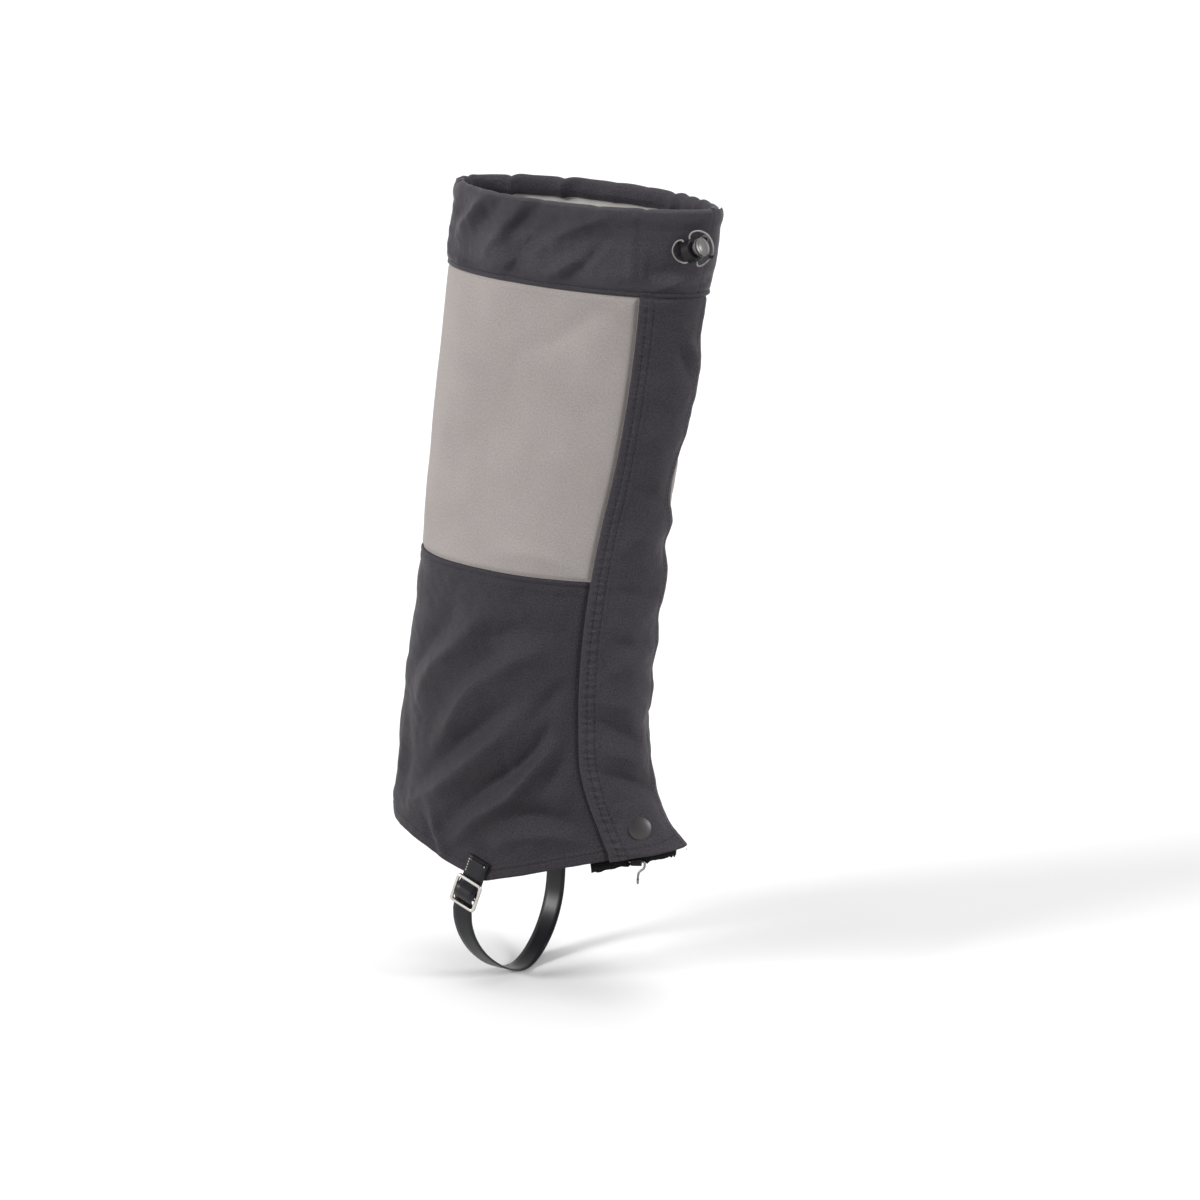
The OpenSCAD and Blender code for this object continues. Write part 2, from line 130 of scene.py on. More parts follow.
def curve(x, points):
    """A smooth curve through (x, y) points."""
    px, py = np.array(points, float).T
    slope = np.gradient(py, px)
    x = np.clip(x, px[0], px[-1])
    i = np.clip(np.searchsorted(px, x) - 1, 0, len(px) - 2)
    h = px[i + 1] - px[i]
    t = (x - px[i]) / h
    start = (1 + 2 * t) * (1 - t) ** 2 * py[i] + t * (1 - t) ** 2 * h * slope[i]
    end = t * t * (3 - 2 * t) * py[i + 1] + t * t * (t - 1) * h * slope[i + 1]
    return start + end


def rounded(points, steps=6):
    """A polyline's points with its corners rounded, steps of them to each of its lengths."""
    p = np.array(points, float)
    t = np.linspace(0, len(p) - 1, (len(p) - 1) * steps + 1)
    return np.stack([curve(t, list(enumerate(column))) for column in p.T], axis=1)


# -------------------- the tube's surface, as in the CAD

def lean(z):
    return 49 * np.power(clamp01(z / HEIGHT), 1.5) - 7


def half_length(z):
    above = 89 + 3 * ((z - MID_SEAM) / (HEIGHT - MID_SEAM)) ** 2
    below = 89 + 12.5 * np.power(np.maximum(MID_SEAM - z, 0) / MID_SEAM, 1.6)
    return np.where(z > MID_SEAM, above, below)


def half_width(z):
    return mix(47, 35, z / HEIGHT)


def kick(u, z):
    return 20 * clamp01((75 - z) / 45) ** 3 * np.maximum(np.cos(np.radians(u)), 0) ** 6


def tube(u, z):
    """Points of the panels' inner face."""
    u, z = np.broadcast_arrays(np.asarray(u, float), np.asarray(z, float))
    r = np.radians(u)
    x = -half_width(z) * np.sin(r)
    y = -(lean(z) + half_length(z) * np.cos(r) + kick(u, z))
    return np.stack([x, y, z], axis=-1)


def outward(u, z):
    """The level direction away from the leg."""
    t = tube(np.asarray(u, float) + 1, z) - tube(np.asarray(u, float) - 1, z)
    n = np.stack([-t[..., 1], t[..., 0], 0 * t[..., 0]], axis=-1)
    return n / np.linalg.norm(n, axis=-1, keepdims=True)


def hem(u):
    c = np.cos(np.radians(u))
    behind = 19 * np.abs(c) ** 0.9 + 3 * bump(turn(u, 136) / 36) + 3 * bump(turn(u, 224) / 36)
    return np.where(c > 0, 32 * np.abs(c), behind)


def dip(u):
    return 3 * (1 + np.cos(np.radians(u)))


def cuff_seam(u):
    return HEIGHT - CUFF_DEPTH - dip(u)


def rim(u):
    return HEIGHT - dip(u) - 1.6 * bump(turn(u, 105) / 85) + 1.8 * bump(turn(u, 262) / 80)


# The sewn edge of the flap: (height, angle)
SEAM = [(0, 38), (27, 39), (44, 41.5), (66, 46.5), (84, 50), (115, 52), (155, 52.8), (200, 51.8), (246, 49),
        (268, 47), (328, 45), (371, 46), (388, 47), (445, 50)]


def seam_angle(z):
    return curve(z, SEAM)


def past_seam(u, z):
    """How far a point lies behind the flap's sewn edge."""
    return (u - seam_angle(z)) * SEAM_DEGREE


# -------------------- how the worn cloth differs from the tube

# How far the front gives way, over its height
FRONT_SLACK = [(0, -3.5), (58, -3.5), (76, -5.5), (94, -7), (112, -7.8), (145, -7), (180, -5.2), (230, -4.6),
               (280, -4), (330, -1.2), (390, -3), (445, -3)]
# Where the hardware holds the cloth: angle, height, radius held
PINS = [(21, 44, 9), (24, 418, 13), (97, 4, 12)]


def pinned(u, z):
    """1 where the hardware holds the cloth still, 0 away from it."""
    p = tube(u, z)
    held = np.zeros(p.shape[:-1])
    for pin_u, pin_z, radius in PINS:
        away = np.linalg.norm(p - tube(pin_u, pin_z), axis=-1)
        held = np.maximum(held, 1 - ease((away - radius) / 14))
    return held


def slack(u, z):
    front = curve(z, FRONT_SLACK) * bump(turn(u, -14) / 60)
    rear = -2.0 * bump(turn(u, 165) / 60)
    return front + rear


def crease(p, line, width):
    """1 on a line of (u, z) points, falling off to both sides and towards its ends."""
    path = tube(*rounded(line).T)
    a, d = path[:-1], path[1:] - path[:-1]
    flat = p.reshape(-1, 3)
    away = np.full(len(flat), 1e9)
    along = np.zeros(len(flat))
    for k in range(len(a)):
        t = clamp01(((flat - a[k]) @ d[k]) / (d[k] @ d[k]))
        far = np.linalg.norm(flat - a[k] - t[:, None] * d[k], axis=1)
        near = far < away
        away = np.where(near, far, away)
        along = np.where(near, (k + t) / len(a), along)
    lift = np.exp(-(away / width) ** 1.5) * np.sin(np.pi * np.clip(along, 0.03, 0.97)) ** 0.7
    return lift.reshape(p.shape[:-1])


def waves(p, size, seed, stretch=(1, 1, 1)):
    """Smooth random waves between -1 and 1, of about that size."""
    flat = p.reshape(-1, 3) * np.array(stretch) / size + seed * 7.3
    return np.array([noise.noise(Vector(q)) for q in flat]).reshape(p.shape[:-1]) * 1.6


# Each fold: height, half width, line of (u, z) points
ANKLE_FOLDS = [
    (3.0, 6, [(108, 14), (94, 42), (81, 59), (74, 74), (67, 90), (62, 104)]),
    (-2.6, 6, [(110, 30), (94, 58), (78, 80), (69, 98), (64, 118)]),
    (2.4, 8, [(138, 30), (115, 54), (98, 81), (86, 101), (76, 122)]),
    (-2.2, 8, [(130, 50), (108, 84), (93, 106), (78, 128)]),
    (2.4, 9, [(126, 62), (112, 97), (105, 122), (92, 141), (81, 153), (66, 164)]),
    (-2.0, 8, [(124, 96), (110, 126), (96, 147), (84, 162)]),
    (2.0, 8, [(138, 100), (126, 133), (112, 153), (104, 167), (98, 186)]),
    (-1.8, 8, [(153, 110), (134, 146), (120, 167), (114, 188)]),
    (-1.4, 9, [(100, 158), (88, 168), (72, 172)]),
    (-1.1, 5, [(60, 142), (67, 126), (74, 110)]),
    (-2.2, 7, [(84, 44), (68, 50), (52, 46)]),
    (1.5, 6, [(88, 22), (78, 33), (62, 38), (48, 36)]),
    (-1.4, 5, [(57, 94), (62, 78), (68, 66)]),
    (1.6, 5, [(118, 44), (114, 28), (108, 12)]),
    (-1.2, 4, [(124, 34), (118, 20), (112, 8)]),
    (0.9, 7, [(158, 26), (150, 60), (152, 100)]),
    (-0.9, 7, [(146, 40), (140, 66), (146, 96)]),
    (0.6, 8, [(168, 60), (164, 110), (166, 170)]),
    (-1.2, 3.5, [(86, 20), (98, 18), (108, 10)]),
]
CALF_FOLDS = [
    (0.9, 16, [(150, 215), (138, 270), (132, 340), (138, 386)]),
    (-0.8, 18, [(100, 210), (108, 270), (96, 340), (92, 380)]),
    (0.8, 14, [(58, 215), (70, 270), (66, 330), (60, 380)]),
    (-0.9, 8, [(60, 385), (76, 362), (92, 350)]),
    (0.7, 9, [(120, 388), (110, 360), (96, 345)]),
    (0.6, 7, [(56, 214), (80, 222), (104, 216)]),
]
FLAP_FOLDS = [
    (-1.6, 5, [(46, 119), (35, 112), (24, 104), (12, 98)]),
    (1.2, 6, [(44, 130), (30, 126), (12, 124)]),
    (-1.6, 4.5, [(45, 86), (30, 78), (12, 70), (0, 64)]),
    (1.5, 6, [(42, 98), (26, 92), (8, 86)]),
    (1.1, 7, [(40, 148), (26, 152), (10, 158)]),
    (-1.2, 6, [(42, 172), (28, 166), (10, 168)]),
    (1.0, 7, [(42, 164), (30, 174), (16, 182)]),
    (-1.2, 7, [(38, 206), (20, 198), (4, 202)]),
    (1.0, 7, [(40, 226), (26, 236), (10, 226)]),
    (-1.0, 8, [(38, 270), (22, 262), (6, 254)]),
    (1.0, 9, [(36, 296), (20, 300), (2, 292)]),
    (-1.4, 4.5, [(20, 358), (12, 345), (3, 334)]),
    (1.2, 5, [(14, 362), (6, 352), (-2, 343)]),
    (-0.9, 9, [(36, 330), (26, 344), (24, 372)]),
    (1.0, 6, [(34, 60), (26, 56), (14, 60)]),
    (-0.9, 5, [(40, 38), (30, 52), (26, 66)]),
]
CUFF_FOLDS = [
    (1.5, 4.5, [(122, 442), (133, 427), (144, 414)]),
    (-1.3, 5, [(114, 441), (122, 428), (134, 410)]),
    (-1.9, 5.5, [(95, 440), (101, 430), (109, 416)]),
    (1.7, 5.5, [(104, 438), (112, 420), (122, 402)]),
    (-1.9, 5.5, [(80, 419), (97, 415), (105, 398), (108, 388)]),
    (1.7, 5.5, [(62, 438), (83, 423), (97, 411), (112, 396)]),
    (1.5, 5, [(70, 412), (82, 402), (93, 391)]),
    (-1.4, 4.5, [(66, 420), (75, 402), (82, 390)]),
    (1.1, 4, [(58, 440), (54, 425), (51, 400), (49, 388)]),
    (-1.2, 3.5, [(51, 440), (48, 420), (45, 400), (44, 388)]),
    (-1.4, 4, [(20, 436), (28, 430), (37, 421), (42, 410)]),
    (1.2, 4, [(14, 434), (24, 426), (34, 418)]),
    (1.3, 4, [(12, 404), (28, 396), (48, 388)]),
    (-1.3, 4, [(16, 398), (30, 404), (44, 400)]),
    (1.0, 6, [(150, 436), (158, 412), (152, 392)]),
    (-1.0, 6, [(142, 400), (132, 396), (120, 392)]),
]
FOLD_SETS = {"ankle": ANKLE_FOLDS, "calf": CALF_FOLDS, "flap": FLAP_FOLDS, "cuff": CUFF_FOLDS}
# Restless small waves of each cloth: height, size
RIPPLES = {"ankle": (0.8, 20), "calf": (0.4, 45), "flap": (0.6, 18), "cuff": (0.9, 15), "inner": (0.8, 22)}
# How much the drawn folds of each cloth are deepened
FOLD_GAIN = {"ankle": 2.2, "calf": 1.6, "flap": 1.7, "cuff": 2.4}


def sewn(u, z):
    """0 on the seams, where the cloths are held together, and 1 away from them."""
    free = 1 - 0.9 * bell(past_seam(u, z), 0, 6)
    for away in (z - MID_SEAM, z - cuff_seam(u), (u - REAR) * 0.8):
        free = free * (1 - 0.9 * bell(away, 0, 5))
    return free


def folds(kind, u, z):
    """How far the folds and small waves of a cloth lift it off the tube."""
    p = tube(u, z)
    height, size = RIPPLES[kind]
    lift = height * waves(p, size, 1.0) + 0.35 * height * waves(p, size / 3, 2.0)
    for depth, width, line in FOLD_SETS.get(kind, []):
        lift = lift + FOLD_GAIN[kind] * depth * crease(p, line, width)
    return lift * sewn(u, z) + 0.5 * waves(p, 45, 3.0)


def skin(kind, u, z, depth):
    """Points of a cloth at a depth from the tube, with its folds and the worn shape."""
    u, z = np.broadcast_arrays(np.asarray(u, float), np.asarray(z, float))
    moved = (slack(u, z) + folds(kind, u, z)) * (1 - pinned(u, z))
    return tube(u, z) + (depth + moved)[..., None] * outward(u, z)


# -------------------- meshes

def link(name, data):
    obj = bpy.data.objects.new(name, data)
    bpy.context.scene.collection.objects.link(obj)
    return obj


def mesh_piece(name, verts, faces, looks, picks=None, uvs=None):
    """A mesh object from points in millimetres. picks gives each face's look, uvs each point's place."""
    mesh = bpy.data.meshes.new(name)
    mesh.from_pydata([tuple(v) for v in np.asarray(verts) * MM], [], [tuple(f) for f in faces])
    for look in looks:
        mesh.materials.append(MATS[look])
    if picks is not None:
        mesh.polygons.foreach_set("material_index", np.asarray(picks, np.int32))
    mesh.polygons.foreach_set("use_smooth", [True] * len(mesh.polygons))
    if uvs is not None:
        layer = mesh.uv_layers.new(name="UVMap")
        index = np.zeros(len(mesh.loops), np.int32)
        mesh.loops.foreach_get("vertex_index", index)
        layer.data.foreach_set("uv", (np.asarray(uvs)[index] * MM).astype(np.float32).ravel())
    work = bmesh.new()
    work.from_mesh(mesh)
    bmesh.ops.recalc_face_normals(work, faces=work.faces)
    work.to_mesh(mesh)
    work.free()
    return link(name, mesh)


def quads(rows, cols, start=0, ring=False):
    """Faces of a grid of points; ring joins the last row to the first."""
    out = []
    for j in range(rows if ring else rows - 1):
        for i in range(cols - 1):
            a = start + j * cols + i
            b = start + ((j + 1) % rows) * cols + i
            out.append((a, a + 1, b + 1, b))
    return out


def circle(count):
    """Cosines and sines of even steps round a circle."""
    return [(math.cos(2 * math.pi * k / count), math.sin(2 * math.pi * k / count)) for k in range(count)]


def joined(rings, around, start=0, closed=False):
    """Faces between rings of points, each joined to the next; closed joins the last to the first."""
    out = []
    for j in range(rings if closed else rings - 1):
        a, b = start + j * around, start + (j + 1) % rings * around
        for k in range(around):
            after = (k + 1) % around
            out.append((a + k, a + after, b + after, b + k))
    return out


def flat_uv(points):
    """Distance across each row and the height, in millimetres."""
    step = np.linalg.norm(np.diff(points, axis=1), axis=-1)
    across = np.concatenate([np.zeros((len(points), 1)), np.cumsum(step, axis=1)], axis=1)
    return np.stack([across, points[..., 2]], axis=-1)


def shell(name, kind, u, z, outside, inside, looks):
    """A closed sheet of cloth between two depths, with a look for each of its faces."""
    outer, inner = skin(kind, u, z, outside), skin(kind, u, z, inside)
    rows, cols = outer.shape[:2]
    n = rows * cols
    faces = quads(rows, cols) + quads(rows, cols, n)
    picks = [0] * (len(faces) // 2) + [1] * (len(faces) // 2)
    edge = list(range(cols)) + [j * cols + cols - 1 for j in range(1, rows)]
    edge += [(rows - 1) * cols + i for i in range(cols - 2, -1, -1)]
    edge += [j * cols for j in range(rows - 2, 0, -1)]
    for k, a in enumerate(edge):
        b = edge[(k + 1) % len(edge)]
        faces.append((a, b, b + n, a + n))
        picks.append(0)
    uv = flat_uv(outer).reshape(-1, 2)
    verts = np.concatenate([outer.reshape(-1, 3), inner.reshape(-1, 3)])
    return mesh_piece(name, verts, faces, looks, picks, np.concatenate([uv, uv]))


# The hinge line between the gaiter and the flap, where the cloth bends; bend() works out its direction but
# only bakes a piece's transform, without bending it
HINGE_A = np.array([-35.509, -57.626, 60.0])
HINGE_B = np.array([-28.4999, -93.4882, 400.0])


def bend(piece):
    axis = unit(HINGE_B - HINGE_A)
    across = np.array([0.362, -0.932, 0.0])
    across = unit(across - (across @ axis) * axis)
    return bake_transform(piece)


def stand_in(piece, body, slot, *nodes):
    """Hides the CAD parts a piece replaces and parents it to the body it rides on; on the hinge its transform
    is only baked. The slot is not used.
    """
    if nodes:
        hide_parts(*nodes)
    return bend(piece) if body == "hinge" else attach(piece, body)


# -------------------- materials

def feed(tree, socket, value):
    if isinstance(value, bpy.types.NodeSocket):
        tree.links.new(value, socket)
    else:
        socket.default_value = value


def fill(tree, node, **inputs):
    """Sets or links a node's inputs, by their names with _ for a space."""
    for name, value in inputs.items():
        feed(tree, node.inputs[name.replace("_", " ")], value)
    return node


def add(tree, kind, **inputs):
    return fill(tree, tree.nodes.new(kind), **inputs)


def new_material(name):
    mat = bpy.data.materials.new(name)
    mat.use_nodes = True
    tree = mat.node_tree
    return mat, tree, tree.nodes["Principled BSDF"]


def blend_colours(tree, low, high, factor):
    n = tree.nodes.new("ShaderNodeMix")
    n.data_type = "RGBA"
    tree.links.new(factor, n.inputs[0])
    n.inputs[6].default_value = (*low, 1)
    n.inputs[7].default_value = (*high, 1)
    return n.outputs[2]


def maths(tree, operation, a, b):
    n = tree.nodes.new("ShaderNodeMath")
    n.operation = operation
    feed(tree, n.inputs[0], a)
    feed(tree, n.inputs[1], b)
    return n.outputs[0]


def stretch(tree, value, low, high):
    """A 0 to 1 value spread over another range."""
    return add(tree, "ShaderNodeMapRange", Value=value, To_Min=low, To_Max=high).outputs[0]


def noise_value(tree, vector, scale, detail, rough=0.5):
    n = add(tree, "ShaderNodeTexNoise", Vector=vector, Scale=scale, Detail=detail, Roughness=rough)
    return n.outputs["Fac"]


def shares(tree, a, b, share):
    """A mix of two values, with that share of the first."""
    return maths(tree, "ADD", maths(tree, "MULTIPLY", a, share), maths(tree, "MULTIPLY", b, 1 - share))


def wave_value(tree, vector, scale, direction):
    n = add(tree, "ShaderNodeTexWave", Vector=vector, Scale=scale, Distortion=1.2, Detail=1.0)
    n.bands_direction = direction
    return n.outputs["Fac"]


def bumps(tree, height, strength, distance):
    return add(tree, "ShaderNodeBump", Strength=strength, Distance=distance * MM, Height=height).outputs[0]


def cloth_material(name, colour, pitch, relief, rough, sheen, mottle, grain, gloss=0.15):
    """Woven cloth: threads both ways, grain a few threads wide, and slow changes of shade."""
    mat, tree, shader = new_material(name)
    uv = tree.nodes.new("ShaderNodeUVMap").outputs[0]
    place = tree.nodes.new("ShaderNodeTexCoord").outputs["Object"]
    scale = 2 * math.pi / (20 * pitch * MM)
    threads = maths(tree, "MAXIMUM", wave_value(tree, uv, scale, "X"), wave_value(tree, uv, scale, "Y"))
    fleck = noise_value(tree, uv, 1 / (1.1 * MM), 2.0, 0.6)
    cloud = noise_value(tree, place, 26.0, 4.0, 0.55)
    shade = shares(tree, fleck, cloud, grain)
    dark = tuple(c * (1 - mottle) for c in colour)
    light = tuple(c * (1 + mottle) for c in colour)
    spread = add(tree, "ShaderNodeMapRange", Value=shade, From_Min=0.32, From_Max=0.68).outputs[0]
    height = maths(tree, "ADD", maths(tree, "MULTIPLY", threads, 0.5), fleck)
    fill(tree, shader, Base_Color=blend_colours(tree, dark, light, spread),
         Normal=bumps(tree, height, relief, 0.4), Roughness=stretch(tree, fleck, rough - 0.1, rough + 0.1),
         Sheen_Weight=sheen, Sheen_Roughness=0.45, Sheen_Tint=(0.9, 0.86, 0.9, 1), Specular_IOR_Level=gloss)
    return mat


def solid_material(name, colour, rough, metal=0.0, grain=0.3, grain_size=0.5, relief=0.15, coat=0.0,
                   tint=0.15, gloss=0.5):
    """Plastic, rubber or metal, with fine wear in its colour, gloss and surface."""
    mat, tree, shader = new_material(name)
    place = tree.nodes.new("ShaderNodeTexCoord").outputs["Object"]
    fine = noise_value(tree, place, 1 / (grain_size * MM), 3.0)
    slow = noise_value(tree, place, 90.0, 3.0)
    shade = shares(tree, fine, slow, grain)
    dark = tuple(c * (1 - tint) for c in colour)
    light = tuple(min(1.0, c * (1 + tint)) for c in colour)
    fill(tree, shader, Base_Color=blend_colours(tree, dark, light, shade),
         Normal=bumps(tree, fine, relief, 0.1), Roughness=stretch(tree, slow, rough * 0.75, rough * 1.25),
         Metallic=metal, Coat_Weight=coat, Specular_IOR_Level=gloss)
    return mat


def floor_material():
    mat, tree, shader = new_material("pale_floor")
    place = tree.nodes.new("ShaderNodeTexCoord").outputs["Object"]
    pale = blend_colours(tree, (0.9, 0.9, 0.9), (0.93, 0.93, 0.93), noise_value(tree, place, 3.0, 2.0))
    fill(tree, shader, Base_Color=pale, Roughness=0.8, Specular_IOR_Level=0.1)
    return mat


# Colour, thread pitch in mm, relief, roughness, sheen, mottle, share of fine grain, gloss
CLOTHS = {
    "calf": ("calf_cloth", (0.384, 0.348, 0.335), 0.5, 0.35, 0.7, 0.03, 0.16, 0.75, 0.2),
    "ankle": ("ankle_cloth", (0.0345, 0.0306, 0.0374), 0.9, 1.0, 0.5, 0.03, 0.5, 0.85, 0.16),
    "cuff": ("cuff_cloth", (0.041, 0.0365, 0.046), 0.6, 0.8, 0.4, 0.03, 0.4, 0.75, 0.22),
    "flap": ("flap_cloth", (0.042, 0.0378, 0.0455), 0.6, 0.8, 0.48, 0.03, 0.45, 0.8, 0.18),
    "underlap": ("underlap_cloth", (0.014, 0.013, 0.014), 0.8, 1.0, 0.85, 0.05, 0.6, 0.7, 0.05),
    "coating": ("grey_coating", (0.62, 0.59, 0.57), 0.6, 0.25, 0.55, 0.03, 0.08, 0.5, 0.2),
    "dark_coating": ("dark_coating", (0.06, 0.057, 0.062), 0.6, 0.25, 0.5, 0.03, 0.12, 0.4),
    "thread": ("sewing_thread", (0.016, 0.015, 0.017), 0.3, 0.5, 0.42, 0.05, 0.3, 0.5),
    "pale_thread": ("pale_thread", (0.8, 0.78, 0.76), 0.3, 0.5, 0.5, 0.05, 0.2, 0.5),
    "pile": ("loop_pile", (0.012, 0.012, 0.013), 0.5, 1.0, 0.95, 0.3, 0.4, 0.8),
    "hooks": ("moulded_hooks", (0.016, 0.016, 0.018), 1.4, 1.0, 0.5, 0.05, 0.3, 0.5),
    "webbing": ("narrow_webbing", (0.012, 0.012, 0.014), 0.8, 0.8, 0.55, 0.05, 0.4, 0.6),
    # The cord's light grey is painted highlight: it stands in for the bright highlights seen along the lock's
    # cord loops
    "cord": ("elastic_cord", (0.42, 0.40, 0.39), 0.5, 0.6, 0.28, 0.03, 0.3, 0.5),
}
# Colour, roughness, metal, share of fine grain, its size in mm, relief, coat, change of shade, gloss
SOLIDS = {
    "snap": ("snap_lacquer", (0.022, 0.021, 0.023), 0.38, 0.0, 0.4, 0.3, 0.2, 0.15),
    "lock": ("lock_plastic", (0.007, 0.007, 0.010), 0.35, 0.0, 0.4, 0.4, 0.15, 0.0, 0.15, 0.22),
    "button": ("button_plastic", (0.13, 0.126, 0.124), 0.3, 0.3, 0.4, 0.4, 0.15, 0.2),
    "spring": ("spring_steel", (0.6, 0.6, 0.6), 0.25, 1.0),
    "strap": ("strap_coating", (0.008, 0.008, 0.010), 0.36, 0.0, 0.5, 0.6, 0.3, 0.1, 0.2, 0.25),
    "buckle": ("satin_nickel", (0.56, 0.53, 0.50), 0.3, 1.0, 0.5, 0.25, 0.12, 0.0, 0.08),
    "hook": ("plated_wire", (0.2, 0.2, 0.2), 0.3, 1.0, 0.5, 0.3, 0.1),
}
MATS = {look: cloth_material(*facts) for look, facts in CLOTHS.items()}
MATS.update({look: solid_material(*facts) for look, facts in SOLIDS.items()})


# -------------------- cloth panels

def step_count(length, step):
    return max(2, int(round(length / step)) + 1)


def spaced(length, step, fine, close):
    """Places from 0 to 1 along a length, coarse but fine near the given distances."""
    at = [0.0]
    while at[-1] < length:
        near = min(abs(at[-1] - c) for c in close)
        at.append(at[-1] + mix(fine, step, float(ease((near - 4) / 6))))
    return np.array(at) / at[-1]


def even(length, step):
    """Even places from 0 to 1 along a length."""
    return np.linspace(0, 1, step_count(length, step))


def gap(away):
    """A cloth dips where the edge of another lies on it."""
    return 0.9 * bell(away, 0, 1.8)


def tucked(away):
    """The same for a cloth that goes on beneath the other, and stays down there."""
    return gap(np.maximum(away, 0))


def hem_fold(above):
    """The extra thickness of a turned-up hem, at a height above its edge, and its stitched groove."""
    return 0.45 * (1 - ease((above - 8) / 1.2)) - 0.3 * bell(above, HEM_ROW, 0.9)


def seam_roll(away, reach=1.6):
    """A turned-in edge: it rounds down to the cloth beneath within reach of the seam."""
    return 1 - (1 - clamp01(away / reach)) ** 2


# The outer panels are sewn to the flap, so they take its hinge as their body, where their transform is only
# baked
BODY = {"outer": "hinge", "inner": "gaiter"}


def panel_angles(side, t, s, low, high, last):
    """The outer panels run from the flap's seam to the rear, and the inner ones from there to the front."""
    if side == "outer":
        return mix(seam_angle(mix(low, high, t)) - 3.0, REAR, s)
    return mix(REAR, last, s) + 0 * t


def calf_cloth(side):
    """One side's calf panel, which goes on a little way beneath the ankle panel, the cuff and the flap."""
    length, first, kind = (175, 3, "calf") if side == "outer" else (218, 0, "inner")
    t = spaced(187, 2.2, 0.7, (3, 184))[:, None]
    s = spaced(length, 2.2, 0.7, (first, 999))[None, :]
    low = MID_SEAM - 5
    u = panel_angles(side, t, s, low, 392, 370.0)
    z = mix(low, cuff_seam(u) + 3, t)
    sunk = tucked(z - MID_SEAM) + tucked(cuff_seam(u) - z)
    if side == "outer":
        sunk = np.maximum(sunk, tucked(past_seam(u, z)))
    else:
        # It sinks under the flap, but stays out where it shows past the flap's edge
        hidden = ease((turn(u, 0) - flap_edge(z) + 4) / 5)
        sunk = sunk + 2.6 * hidden * bump(turn(u, 2) / 30)
        sunk = sunk + 1.2 * bump(turn(u, -4) / 30) * (1 - bump((z - 268) / 30))
    depth = CLOTH - 0.25 - sunk
    piece = shell(side + "_calf_cloth", kind, u, z, depth, depth - 0.8, ("calf", "coating"))
    return stand_in(piece, BODY[side], "calf_cloth", side + "_calf_panel")


def ankle_depth(u, z):
    above = z - hem(u)
    top = MID_SEAM - z
    edge = hem_fold(above) - 0.5 * (1 - seam_roll(above, 0.8))
    seam = 0.45 - 0.7 * (1 - seam_roll(top, 0.9)) - 0.4 * bell(top, MID_ROW, 0.9)
    return CLOTH + edge + seam * (1 - ease((top - 7) / 3))


def ankle_cloth(side):
    """One side's ankle panel, from the hem to its seam with the calf panel."""
    length, first, kind = (178, 3, "ankle") if side == "outer" else (226, 0, "inner")
    t = spaced(200, 1.6, 0.7, (0, 7, 196))[:, None]
    s = spaced(length, 1.7, 0.7, (first, 999))[None, :]
    u = panel_angles(side, t, s, 20, MID_SEAM, 364.0)
    z = mix(hem(u), MID_SEAM + 0 * u, t)
    sunk = tucked(past_seam(u, z)) if side == "outer" else 1.2 * bump(turn(u, -4) / 30)
    piece = shell(side + "_ankle_cloth", kind, u, z, ankle_depth(u, z) - sunk, CLOTH - 1.2 - sunk,
                  ("ankle", "dark_coating"))
    return stand_in(piece, BODY[side], "ankle_cloth", side + "_ankle_panel")


FLAP_EDGE = -7.0
# How far the flap's free edge stands off or gives way, over its height
EDGE_WAVE = [(0, 0), (32, -0.5), (44, 0), (58, 0.3), (93, -1.0), (104, -2.0), (112, -2.2), (122, 0.2),
             (134, 0.3), (145, -1.4), (162, 0), (184, -0.6), (199, 2.0), (209, 1.8), (226, -1.9), (243, 0.4),
             (262, -1.9), (281, -1.2), (297, 0.2), (319, 1.4), (341, 1.8), (360, -0.2), (390, 0)]


def flap_edge(z):
    """Angle of the flap's free edge, which stands back where the far panel shows."""
    return FLAP_EDGE + 9 * bump((z - 266) / 34)


def puckers(along, away, middle, reach):
    """Small tight ridges across a stitched seam."""
    drift = 1.5 * np.sin(along * 0.21) + 0.9 * np.sin(along * 0.083 + 1)
    return (0.5 + 0.5 * np.cos(2 * np.pi * (along + drift) / 5.0)) * bump((away - middle) / reach)


def flap_outer(u, z):
    """Depth of the flap's outer face."""
    away = -past_seam(u, z)
    across = clamp01(away / 42)
    rise = 2.3 + 0.4 * across + 2.5 * clamp01((75 - z) / 45) ** 2 * clamp01((40 - u) / 46) ** 2
    wave = curve(z, EDGE_WAVE) * ease((22 - u) / 28)
    edge = (u - flap_edge(z)) * EDGE_DEGREE
    rows = bell(away, SEAM_ROWS[0], 1.0) + 0.8 * bell(away, SEAM_ROWS[1], 1.0)
    low = 1 - 0.6 * ease((z - 190) / 60)
    seam = 0.4 * (1 - ease((away - 10.5) / 2)) - 0.5 * rows + 0.9 * low * puckers(z, away, 5.5, 5.5)
    turned = 0.3 * (1 - ease((edge - 6) / 1.2)) - 0.3 * bell(edge, EDGE_ROW, 0.9)
    ends = -1.0 * (1 - seam_roll(away, 0.9)) - 0.4 * (1 - seam_roll(z - hem(u) + 1, 0.8))
    return rise + wave + seam + turned + ends + 0.6 * hem_fold(z - hem(u) + 1) - gap(cuff_seam(u) - z)


def flap_cloth():
    """The front flap, from its seam to its free edge."""
    t = spaced(362, 1.15, 0.8, (2, 8, 358))[:, None]
    s = spaced(46, 1.3, 0.55, (1, 5, 9, 42))[None, :]
    u = mix(seam_angle(mix(24, 386, t)), flap_edge(mix(28, 386, t)), s)
    z = mix(hem(u) - 1, cuff_seam(u) + 3, t)
    depth = flap_outer(u, z)
    piece = shell("front_flap_cloth", "flap", u, z, depth, depth - 1.1, ("flap", "dark_coating"))
    return stand_in(piece, "hinge", "flap_cloth", "front_flap")


